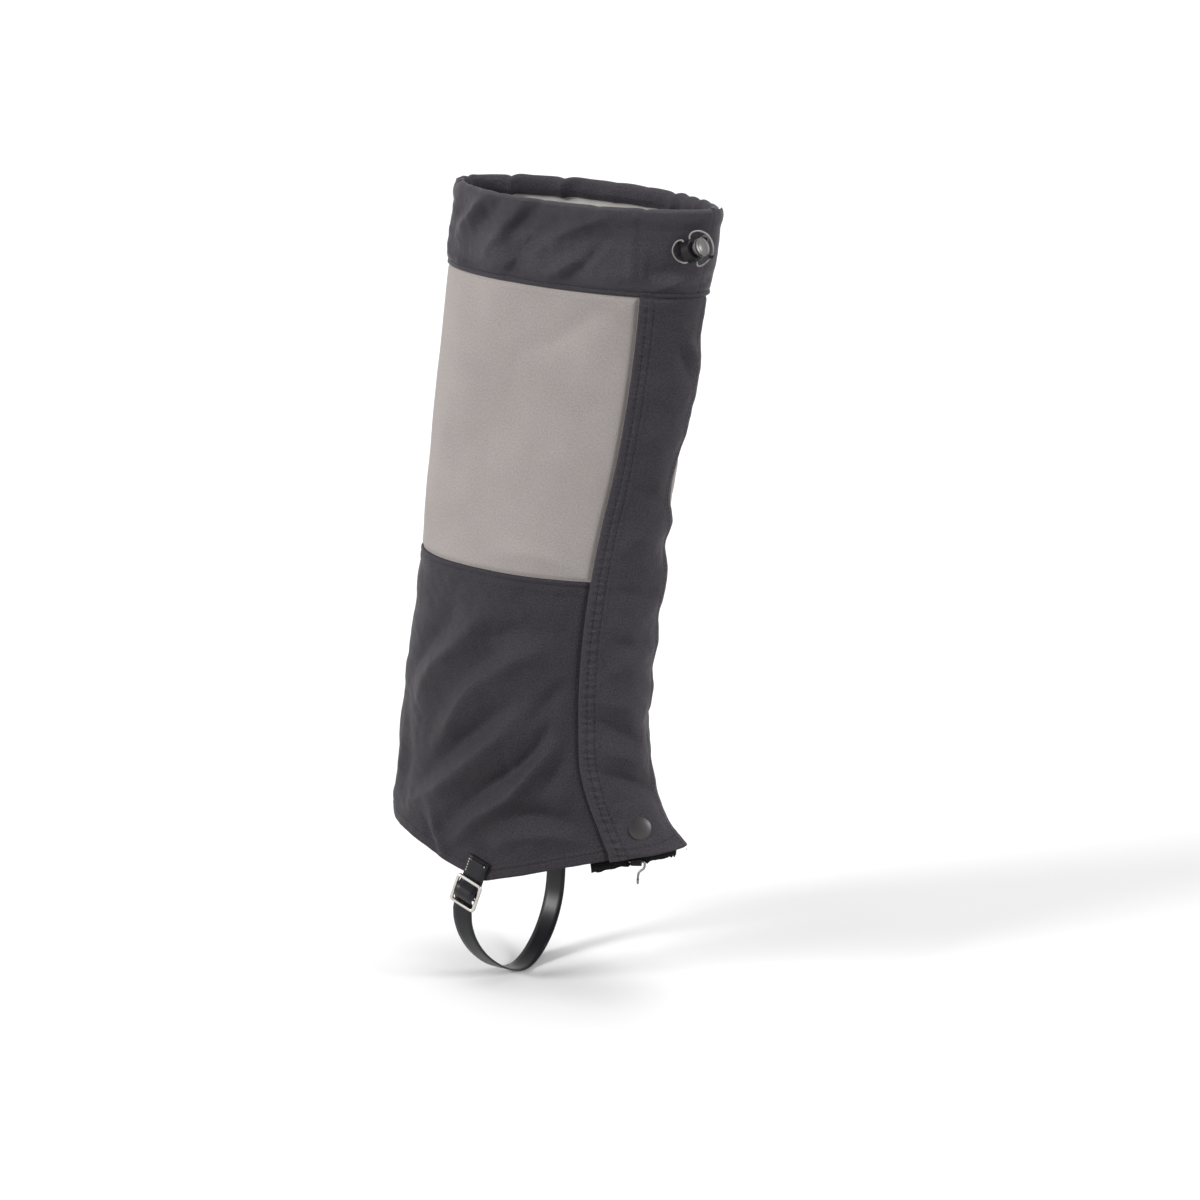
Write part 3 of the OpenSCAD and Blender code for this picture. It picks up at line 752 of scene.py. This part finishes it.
def underlap_cloth():
    """The cloth behind the flap, with its ragged lower end."""
    t = even(400, 2.5)[:, None]
    s = even(100, 2.0)[None, :]
    u = mix(seam_angle(mix(20, 420, t)) + 8, -22, s)
    ragged = 1.2 * waves(tube(u, 0 * u), 3.0, 4.0)
    z = mix(hem(u) - 7.5 + ragged, HEIGHT - TUNNEL - 12 + 0 * u, t)
    depth = mix(-1.65, -3.8, clamp01((u + 22) / 14)) + 1.0
    piece = shell("underlap_cloth", "flap", u, z, depth, depth - 1.0, ("underlap", "dark_coating"))
    return stand_in(piece, "gaiter", "underlap_cloth", "underlap")


def tape(name, depth, look):
    """One of the two fastener tapes, with a nubbly face."""
    t = even(315, 1.5)[:, None]
    u = mix(33.0, 12.0, even(30, 1.2)[None, :]) + 0 * t
    z = mix(70.0, cuff_seam(u) - 4, t)
    nub = 0.25 * waves(tube(u, z), 1.6, 6.0)
    return shell(name, "flap", u, z, depth + 0.9 + nub, depth, (look, look))


# -------------------- cuff

# Angles of the drawcord's pinches round the rim, and how deep each is
PINCHES = [(176, 1.0), (190, 1.1), (222, 1.4), (248, 1.4), (271, 0.4), (285, 0.5), (300, 1.6), (309, 1.0),
           (318, 1.4), (331, 0.3), (344, 0.3), (160, 0.9), (146, 0.4), (119, 0.8), (96, 0.5), (72, 0.8),
           (51, 1.0)]


def gather(u):
    """The drawcord's gathers: the rim swells between narrow pinches."""
    out = 0.25 + 0 * u
    for centre, deep in PINCHES:
        away = turn(u, centre)
        out = out - deep * np.exp(-np.abs(away / 1.7) ** 1.3) + 0.45 * deep * bell(away, 5, 4)
    return out


def cuff_lift(u):
    """How far the cuff's end is lifted off the tube by the layers beneath it."""
    end = mix(0.2, 1.7, clamp01((50 - u) / 40))
    lip = mix(0.0, 1.0, ease((10 - u) / 20))
    return np.where(u < 60, end + lip, 0.1)


def cuff_cloth(side):
    """The cuff with its drawcord tunnel, as one closed section swept round the rim."""
    outer = side == "outer"
    first, last = (-10.0, REAR) if outer else (REAR, 360.0)
    cols = step_count(240, 1.4)
    u = np.linspace(first, last, cols)[None, :]
    d = cuff_lift(u)
    flat = ease((11 - u) / 3) if outer else 0 * u
    pinch = gather(u)
    top, low = rim(u) + 0.8 * pinch * (1 - flat), cuff_seam(u)
    back = mix(-3.6 + 0.8 * pinch, d + 0.2, flat)
    up = spaced(CUFF_DEPTH, 2.0, 0.8, (2, 41, 50))
    section = []
    for k in up:
        z = mix(low, top - 1.6, k)
        above = z - low
        near_top = top - z
        swell = 0.7 * bump((near_top - 6) / 7) + 0.25 * pinch * bump((near_top - 4) / 9)
        groove = -0.45 * bell(above, CUFF_ROW, 0.9)
        lip_row = -0.35 * bell((u - LIP_U) * 1.4, 0, 0.9) if outer else 0
        corner = 1.3 * bell(turn(u, 179), 0, 4) * ease((14 - near_top) / 10)
        low_edge = -0.8 * (1 - seam_roll(above, 0.9))
        section.append((d + 1.7 + swell + groove + lip_row + corner + low_edge, z))
    for share, drop in ((0.22, 0.5), (0.4, 0.08), (0.62, 0.1), (0.82, 0.7)):
        section.append((mix(d + 1.6, back, share), top - drop))
    for share, drop in ((1.0, 2.6), (1.04, 5.0), (1.05, 7.5), (0.95, 10.0), (0.6, 12.0), (0.35, 12.8)):
        section.append((mix(d + 0.5, back, share), top - drop))
    for k in np.linspace(0, 1, 14):
        section.append((d + 0.45 + 0 * u, mix(top - 13.5, low + 0.4, k)))
    rows = len(section)
    depth = np.concatenate([np.broadcast_to(a, (1, cols)) for a, _ in section])
    z = np.concatenate([np.broadcast_to(b, (1, cols)) for _, b in section])
    uu = np.broadcast_to(u, (rows, cols))
    points = skin("cuff" if outer else "inner", uu, z, depth)
    inner_row = len(up) + 10
    faces = quads(rows, cols, 0, True)
    picks = [0 if j < inner_row - 1 else 1 for j in range(rows) for _ in range(cols - 1)]
    faces += [tuple(range(0, rows * cols, cols)), tuple(range(cols - 1, rows * cols, cols))[::-1]]
    picks += [0, 0]
    uv = flat_uv(points)
    uv[..., 1] = np.arange(rows)[:, None] * 1.6
    piece = mesh_piece(side + "_cuff_cloth", points.reshape(-1, 3), faces, ("cuff", "coating"), picks,
                       uv.reshape(-1, 2))
    return stand_in(piece, BODY[side], "cuff_cloth", *(("cuff_end", "cuff_lip") if outer else ("cuff_band",)))


# -------------------- stitching

def stitches(name, rows, look="thread", pitch=3.0, size=(2.2, 0.42, 0.3)):
    """Rows of lock stitches. Each row is a fine line of points on the cloth and its outward directions."""
    rings = ((-1.0, 0.25), (-0.72, 0.85), (0.0, 1.0), (0.72, 0.85), (1.0, 0.25))
    around = 6
    verts, faces = [], []
    for points, normals in rows:
        along = np.concatenate([[0], np.cumsum(np.linalg.norm(np.diff(points, axis=0), axis=1))])
        for at in np.arange(pitch / 2, along[-1] - pitch / 2, pitch):
            ends = [np.array([np.interp(at + k, along, points[:, c]) for c in range(3)]) for k in (-1, 0, 1)]
            n = np.array([np.interp(at, along, normals[:, c]) for c in range(3)])
            ahead = unit(ends[2] - ends[0])
            side = unit(np.cross(n, ahead))
            n = np.cross(ahead, side)
            start = len(verts)
            for t, girth in rings:
                for cosine, sine in circle(around):
                    verts.append(ends[1] + ahead * t * size[0] / 2 + side * cosine * girth * size[1] / 2
                                 + n * (sine * girth * size[2] / 2 + 0.06))
            faces += joined(len(rings), around, start)
            faces.append(tuple(range(start, start + around))[::-1])
            faces.append(tuple(range(len(verts) - around, len(verts))))
    verts = np.array(verts)
    return mesh_piece(name, verts, faces, [look], uvs=verts[:, [1, 2]])


def row(kind, u, z, depth):
    """A stitched line on a cloth, and the directions away from it."""
    line = skin(kind, u, z, depth)
    return line, outward(u, z) + 0 * line


def ankle_row(kind, u, z):
    return row(kind, u, z, ankle_depth(u, z))


def flap_row(u, z):
    return row("flap", u, z, flap_outer(u, z))


def all_stitches():
    """The rows of stitches on the cloths."""
    high = np.linspace(24, 384, 300)
    flap = [flap_row(seam_angle(high) - away / SEAM_DEGREE, high) for away in SEAM_ROWS]
    high = np.linspace(28, 386, 300)
    flap.append(flap_row(flap_edge(high) + EDGE_ROW / EDGE_DEGREE, high))
    u = np.linspace(38, FLAP_EDGE + 2, 80)
    flap.append(flap_row(u, hem(u) + FLAP_HEM_ROW))
    u = np.linspace(51.5, 179.5, 200)
    ankle = [ankle_row("ankle", u, MID_SEAM - MID_ROW + 0 * u)]
    u = np.linspace(40, 179.5, 260)
    ankle.append(ankle_row("ankle", u, hem(u) + HEM_ROW))
    u = np.linspace(180.5, 358, 300)
    inner = [ankle_row("inner", u, hem(u) + HEM_ROW), ankle_row("inner", u, MID_SEAM - MID_ROW + 0 * u)]
    inner.append(row("inner", u, cuff_seam(u) + CUFF_ROW, 0 * u + 1.35))
    inner.append(row("inner", u, rim(u) - 12.5, 0 * u + 1.3))
    u = np.linspace(-9, 179.5, 330)
    cuff = [row("cuff", u, cuff_seam(u) + CUFF_ROW, cuff_lift(u) + 1.25)]
    high = np.linspace(388, 436, 40)
    lip = LIP_U + 0 * high
    cuff.append(row("cuff", lip, high, cuff_lift(lip) + 1.3))
    for name, rows, body in (("flap_stitching", flap, "hinge"), ("outer_ankle_stitching", ankle, "hinge"),
                             ("inner_side_stitching", inner, "gaiter"), ("cuff_stitching", cuff, "hinge")):
        stand_in(stitches(name, rows), body, "flap_cloth")


# -------------------- cords

def cord_curve(name, points, radius, look):
    data = bpy.data.curves.new(name, "CURVE")
    data.dimensions = "3D"
    spline = data.splines.new("POLY")
    spline.points.add(len(points) - 1)
    for k, p in enumerate(points):
        spline.points[k].co = (*(np.array(p) * MM), 1)
    data.bevel_depth = radius * MM
    data.bevel_resolution = 4
    data.use_fill_caps = True
    data.materials.append(MATS[look])
    return link(name, data)


# The cord lock's middle and size, and its two loops from its middle, as in the CAD
LOCK_AT = np.array([-22.1, -128.0, 416.9])
LOCK_SIZE = 0.87


def by_lock(points):
    return [LOCK_AT + LOCK_SIZE * np.array(p) for p in points]


LOOP_ROUTE = by_lock([(0.4, 2, 5), (0.6, 3.3, 8.3), (1.2, 2.8, 10.8), (1.8, 0.2, 12.6), (2.6, -4.2, 13),
                      (3.6, -9, 10.8), (4, -12.2, 6), (3.6, -13.4, 0.8), (2.8, -12.2, -3.6),
                      (1.4, -9.2, -7.6), (0, -6, -10), (-0.7, -4, -10), (-0.6, -3.1, -7.7), (-0.4, -2, -5)])
ANCHOR_ROUTE = by_lock([(1.4, 7.8, 4.4), (1.6, 9.8, 5.8), (0.3, 12.5, 5.2), (-0.9, 14.4, 2.6),
                        (-1.4, 15.2, -1), (-0.9, 14.4, -4.6), (0.3, 12.5, -7.6), (1.4, 10.2, -9),
                        (1.2, 7, -9.4), (0.6, 4.4, -8.6)])
# The point of the loop's route where its knot is
KNOT_AT = 8
CORD_R = 0.5
DRAWCORD_R = 0.8
KNOT_CORD_R = 0.65


def lock_cords():
    """The loop you pull with its knot, and the small loop that ties the lock to its tab."""
    # Both loops take the light grey cord look, which is painted highlight standing in for the cord's bright
    # sheen
    loop = cord_curve("cord_loop_line", rounded(LOOP_ROUTE), CORD_R, "cord")
    stand_in(loop, "flap", "elastic_cord", "cord_loop")
    knot = stand_in(knot_mesh(), "flap", "lock_plastic", "cord_knot")
    anchor = cord_curve("anchor_loop_line", rounded(ANCHOR_ROUTE), CORD_R, "cord")
    stand_in(anchor, "flap", "elastic_cord", "anchor_loop")


def drawcord():
    """The elastic cord in the cuff's tunnel, and its front length that comes out through the eyelet."""
    def place(u, z, depth):
        return tube(u, float(z)) + depth * outward(u, float(z))

    def tunnel(u):
        return HEIGHT - dip(u) - 6
    route = [place(u, tunnel(u), -1.2) for u in np.arange(55, 358, 4.5)]
    around = cord_curve("drawcord_line", route, DRAWCORD_R, "webbing")
    stand_in(around, "gaiter", "elastic_cord", "drawcord")
    eyelet = np.mean(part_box("cord_eyelet"), axis=0) / MM
    away = outward(15.0, 422.0)
    route = [place(u, tunnel(u), -0.9) for u in np.arange(45, 23, -4)]
    route += [place(19.0, tunnel(19.0) - 2, -0.9), place(16.6, 427.5, -0.9), place(15.4, 423.6, -1.2)]
    route += [eyelet - 1.7 * away, eyelet + 1.9 * away]
    front = cord_curve("drawcord_front_line", route, DRAWCORD_R, "webbing")
    stand_in(front, "flap", "elastic_cord", "drawcord_front")


def lock_tab():
    """The short webbing tab that ties the lock to its small loop."""
    line = rounded(by_lock([(0.5, 13, -1), (2.2, 10.2, -1), (1.6, 7.1, -1)]), 4)
    piece = band("lock_tab_webbing", stations_along(line, UP), 7.4, 0.9, "webbing", 0.25)
    stand_in(piece, "flap", "tape_webbing", "lock_tab")


def knot_mesh():
    """A small overhand knot: two crossing lobes of cord wound on each other."""
    turns, around = 72, 8
    path = []
    for k in range(turns):
        a = 2 * math.pi * k / turns
        x = math.sin(a) + 2 * math.sin(2 * a)
        y = math.cos(a) - 2 * math.cos(2 * a)
        path.append(np.array([x, y, -1.1 * math.sin(3 * a)]) * 0.36)
    verts = []
    for k in range(turns):
        ahead = unit(path[(k + 1) % turns] - path[k - 1])
        side = unit(np.cross(ahead, [0.3, 0.2, 0.9]))
        rise = np.cross(ahead, side)
        for cosine, sine in circle(around):
            verts.append(LOOP_ROUTE[KNOT_AT] + path[k] + KNOT_CORD_R * (cosine * side + sine * rise))
    verts = np.array(verts)
    faces = joined(turns, around, closed=True)
    return mesh_piece("cord_knot_twist", verts, faces, ["lock"], uvs=verts[:, [1, 2]])


# -------------------- bands, buckle and hook

def ahead_at(line, k):
    """The direction of a line of points at one of them."""
    return unit(line[min(k + 1, len(line) - 1)] - line[max(k - 1, 0)])


def stations_along(line, across):
    """Stations of a band whose width keeps one direction."""
    return [(line[k], across, np.cross(across, ahead_at(line, k))) for k in range(len(line))]


def band(name, stations, wide, thick, look, edge=0.32):
    """A flat strap with rounded edges. A station is its middle, width direction and thickness direction."""
    w, h = wide / 2, thick / 2
    half = [(-w, -h + edge), (-w, h - edge), (-w + edge, h), (-w / 2, h), (0, h), (w / 2, h), (w - edge, h)]
    ring = half + [(-a, -b) for a, b in half]
    verts, uvs = [], []
    run = 0.0
    for k, (mid, across, out) in enumerate(stations):
        if k:
            run += np.linalg.norm(mid - stations[k - 1][0])
        for a, b in ring:
            verts.append(mid + across * a + out * b)
            uvs.append((a, run))
    around = len(ring)
    faces = joined(len(stations), around)
    faces.append(tuple(range(around))[::-1])
    faces.append(tuple(range(len(verts) - around, len(verts))))
    return mesh_piece(name, verts, faces, [look], uvs=uvs)


# The buckle's own frame, as in the CAD: the side of the hem, the top of the tab, how far the tab leans back,
# and the buckle's centre bar, along the tab and out from it
SIDE_X = 48.6
TAB_TOP = np.array([-SIDE_X, 9.7, 15.0])
LEAN_BACK = math.radians(20)
BAR = 25.5
BAR_OUT = 3.8
BAR_R = 1.1
DOWN = np.array([0.0, math.sin(LEAN_BACK), -math.cos(LEAN_BACK)])
TOEWARD = np.array([0.0, -math.cos(LEAN_BACK), -math.sin(LEAN_BACK)])
OUTER = np.array([-1.0, 0.0, 0.0])


def on_tab(a, w, n):
    """A point of the buckle's own frame: along the tab, across it towards the toe, and outward."""
    return TAB_TOP + a * DOWN + w * TOEWARD + n * OUTER


def tab_stations(points):
    p = np.array(points, float)
    out = []
    for k in range(len(p)):
        t = ahead_at(p, k)
        out.append((on_tab(p[k][0], 0, p[k][1]), TOEWARD, t[1] * DOWN - t[0] * OUTER))
    return out


STRAP_W = 14.5
STRAP_T = 1.0
# Where the strap's inner end is sewn on
INNER_Y = 12.0
STRAP_ROUTE = [(-50.6, 22.6, -22), (-49.6, 22.6, -32), (-46, 21, -44), (-39, 18, -56), (-28, 14, -67),
               (-14, 11.4, -75), (0, 10.6, -78), (14, 10.6, -75), (28, 11, -67), (39, 11.6, -56),
               (46, 12, -43), (48.8, 12, -28), (49.3, 12, -12), (49.3, 12, 4), (49.3, 12, 14)]


def buckle_tab():
    """The tab that holds the buckle, wrapped round its centre bar."""
    angles = np.radians(np.arange(-90, 241, 11))
    ring = [(BAR + 1.85 * math.cos(a), BAR_OUT + 1.85 * math.sin(a)) for a in angles]
    lead = [(0, 0.7), (5, 0.7), (10, 0.7), (14, 0.7), (19, 0.75), (22, 0.8), (23.6, 1.2)]
    piece = band("buckle_tab_strap", tab_stations(lead + ring), STRAP_W + 0.8, 0.9, "strap", 0.25)
    stand_in(piece, "stirrup", "strap_cloth", "buckle_tab")


def strap():
    """The instep strap: over the buckle's bar, then down and under the arch to the inner side."""
    over = rounded([(1.5, 1.95), (9, 1.95), (16.6, 1.95), (19.6, 3.5), (22, 5.8), (24, 6.6), (BAR, 6.85),
                    (27, 6.6), (29, 5.8), (31.4, 3.5), (34.4, 1.9)], 4)
    under = rounded(STRAP_ROUTE, 5)
    stations = tab_stations(over)
    for k in range(len(under)):
        ahead = ahead_at(under, k)
        lean_back = LEAN_BACK * (1 - clamp01(k / 20))
        width = np.array([0.0, -math.cos(lean_back), -math.sin(lean_back)])
        width = unit(width - (width @ ahead) * ahead)
        stations.append((under[k], width, np.cross(width, ahead)))
    piece = band("instep_strap_band", stations, STRAP_W, STRAP_T, "strap")
    stand_in(piece, "stirrup", "strap_cloth", "instep_strap")


def inner_tab():
    """The patch inside the hem that the strap's other end is sewn to."""
    x = SIDE_X + 1.9
    line = np.array([(x, INNER_Y, z) for z in np.linspace(-3, 15, 10)])
    stations = stations_along(line, np.array([0.0, 1.0, 0.0]))
    piece = band("inner_tab_patch", stations, STRAP_W + 3, 1.0, "strap")
    stand_in(piece, "stirrup", "strap_cloth", "inner_tab")


def tab_row(along, across):
    """A stitched line on the tab's face, and the directions away from it."""
    line = np.array([on_tab(a, w, 2.5) for a, w in np.broadcast(along, across)])
    return line, np.tile(OUTER, (len(line), 1))


def tab_stitches():
    """Pale stitches at the tab's rear edge and top corner, and dark ones on its other edges and inside."""
    side = STRAP_W / 2 - 1.3
    pale = [tab_row(np.linspace(1.5, 13.5, 12), -side), tab_row(np.linspace(1.2, 4.4, 5), side - 0.1)]
    dark = [tab_row(1.0, np.linspace(-6, 6, 12)), tab_row(np.linspace(5, 14, 12), side)]
    inner = []
    for y in (INNER_Y - 7.2, INNER_Y + 7.2):
        line = np.array([(SIDE_X + 2.4, y, z) for z in np.linspace(-1.5, 13.5, 12)])
        inner.append((line, np.tile(-OUTER, (12, 1))))
    for name, rows, thread, pitch, size in (
            ("tab_stitching", pale, "pale_thread", 2.1, (1.3, 0.65, 0.4)),
            ("tab_dark_stitching", dark, "thread", 2.1, (1.3, 0.45, 0.3)),
            ("inner_tab_stitching", inner, "thread", 2.3, (1.5, 0.45, 0.3))):
        stand_in(stitches(name, rows, thread, pitch, size), "stirrup", "strap_cloth")


def frame_ring(half_w, half_l, corner, steps=6):
    """A rectangle with rounded corners, as (across, along) points."""
    out = []
    for quarter, (right, up) in enumerate(((1, 1), (-1, 1), (-1, -1), (1, -1))):
        cx, cy = right * (half_w - corner), up * (half_l - corner)
        for k in range(steps + 1):
            a = math.radians(90 * quarter + 90 * k / steps)
            out.append((cx + corner * math.cos(a), cy + corner * math.sin(a)))
    return out


def buckle():
    """The buckle's frame: a stamped rectangular ring with softened edges and a round centre bar."""
    half_w, half_l, bar_w, half_t = 9.8, 10.5, 2.0, 1.05
    soft = 0.35
    section = [(0, -half_t + soft), (0, half_t - soft), (soft, half_t), (bar_w - soft, half_t),
               (bar_w, half_t - soft), (bar_w, -half_t + soft), (bar_w - soft, -half_t), (soft, -half_t)]
    rings = [frame_ring(half_w - inset, half_l - inset, 2.4 - 0.6 * inset) for inset, _ in section]
    n, m = len(rings[0]), len(section)
    verts = [on_tab(BAR + rings[j][i][1], rings[j][i][0], BAR_OUT + section[j][1])
             for i in range(n) for j in range(m)]
    faces = joined(n, m, closed=True)
    around = 20
    start = len(verts)
    for w in (-half_w + 0.6, half_w - 0.6):
        verts += [on_tab(BAR + BAR_R * cosine, w, BAR_OUT + BAR_R * sine) for cosine, sine in circle(around)]
    faces += joined(2, around, start)
    faces.append(tuple(range(start, start + around)))
    faces.append(tuple(range(start + around, start + 2 * around))[::-1])
    piece = mesh_piece("buckle_frame_ring", verts, faces, ["buckle"], uvs=np.array(verts)[:, [1, 2]])
    stand_in(piece, "stirrup", "buckle_metal", "buckle_frame")


# The lace hook's own frame, as in the CAD
HOOK_U = 28.0
HOOK_Z = float(hem(HOOK_U)) - 3
HOOK_TOP = tube(HOOK_U, HOOK_Z) - 5.2 * outward(HOOK_U, HOOK_Z)
HOOK_AWAY = outward(HOOK_U, 30.0)
HOOK_ACROSS = np.cross(UP, HOOK_AWAY)
WIRE_R = 0.8


def hook_point(side, out, up):
    return HOOK_TOP + side * HOOK_ACROSS + out * HOOK_AWAY + up * UP


def lace_hook():
    """The wire hook for the boot's lace, and the webbing that it hangs in."""
    route = [(-4.6, 1.6, -2.6), (-2, 1.6, -2.6), (2, 1.6, -2.6), (4.6, 1.6, -2.6), (5.4, 1.6, -4),
             (4.8, 1.6, -7), (2, 1.6, -9.4), (1.2, 1.6, -12), (1.1, 2, -14.6), (1.1, 3.8, -16),
             (1.1, 5.8, -15), (1.1, 6.4, -12.6)]
    wire = cord_curve("lace_hook_wire", [hook_point(*p) for p in rounded(route)], WIRE_R, "hook")
    stand_in(wire, "lace_hook", "hook_metal", "lace_hook")
    path = [(-2.2, 10), (-1, 4), (-0.2, -1), (-0.1, -3), (1.1, -4.9), (2.6, -4.5), (3.3, -2.6), (3.2, -0.6)]
    line = rounded([hook_point(0, a, b) for a, b in path], 4)
    webbing = band("hook_webbing", stations_along(line, HOOK_ACROSS), 7, 0.8, "webbing", 0.25)
    stand_in(webbing, "gaiter", "tape_webbing", "hook_loop")


def dress_cad_nodes():
    """Better materials for the CAD nodes that stay."""
    looks = {"snap_stud": "snap", "snap_post": "snap", "snap_cap": "snap", "snap_socket": "snap",
             "cord_eyelet": "snap", "lock_body": "lock", "lock_spring": "spring", "lock_button": "button"}
    for node, look in looks.items():
        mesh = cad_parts[node].data
        mesh.materials.clear()
        mesh.materials.append(MATS[look])


# -------------------- studio

# Just under the lowest point of the strap's loop
FLOOR_Z = -0.0795
# Each light: where it shines from, how wide it is, and its strength
LIGHTS = {"key": ((-0.80, 0.62, 0.45), 16, 2.6), "front": ((0.1, -1.4, 0.55), 22, 2.0),
          "top": ((0.1, 0.1, 1.8), 50, 1.3)}


def studio():
    """A round floor that curves up into a wall, and three broad lights."""
    bends = [(7 + 3 * math.sin(a), 3 - 3 * math.cos(a)) for a in np.radians(np.arange(10, 91, 10))]
    rings = [(0.01, 0), (7, 0)] + bends + [(10, 14)]
    around = 96
    verts = [(r * cosine, r * sine, z + FLOOR_Z) for r, z in rings for cosine, sine in circle(around)]
    faces = [tuple(range(around))] + [face[::-1] for face in joined(len(rings), around)]
    floor = bpy.data.meshes.new("floor")
    floor.from_pydata(verts, [], faces)
    floor.polygons.foreach_set("use_smooth", [True] * len(floor.polygons))
    floor.materials.append(floor_material())
    ground = link("floor", floor)
    ground.visible_shadow = False
    ground.visible_diffuse = False
    world = bpy.data.worlds.new("studio")
    bpy.context.scene.world = world
    world.use_nodes = True
    fill(world.node_tree, world.node_tree.nodes["Background"], Color=(1, 1, 1, 1), Strength=0.32)
    for name, (place, width, power) in LIGHTS.items():
        data = bpy.data.lights.new(name, "SUN")
        data.angle = math.radians(width)
        data.energy = power
        lamp = link(name, data)
        lamp.rotation_euler = (-Vector(place)).to_track_quat("-Z", "Y").to_euler()


# -------------------- making it

make_camera()
lock_cords()
drawcord()
lock_tab()
sheets = [make(side) for side in ("outer", "inner") for make in (calf_cloth, ankle_cloth, cuff_cloth)]
sheets += [flap_cloth(), underlap_cloth()]
stand_in(tape("loop_tape_pile", -2.75, "pile"), "gaiter", "loop_fastener", "loop_tape")
stand_in(tape("hook_tape_hooks", -1.05, "hooks"), "flap", "hook_fastener", "hook_tape")
all_stitches()
buckle_tab()
strap()
inner_tab()
tab_stitches()
buckle()
lace_hook()
dress_cad_nodes()
studio()
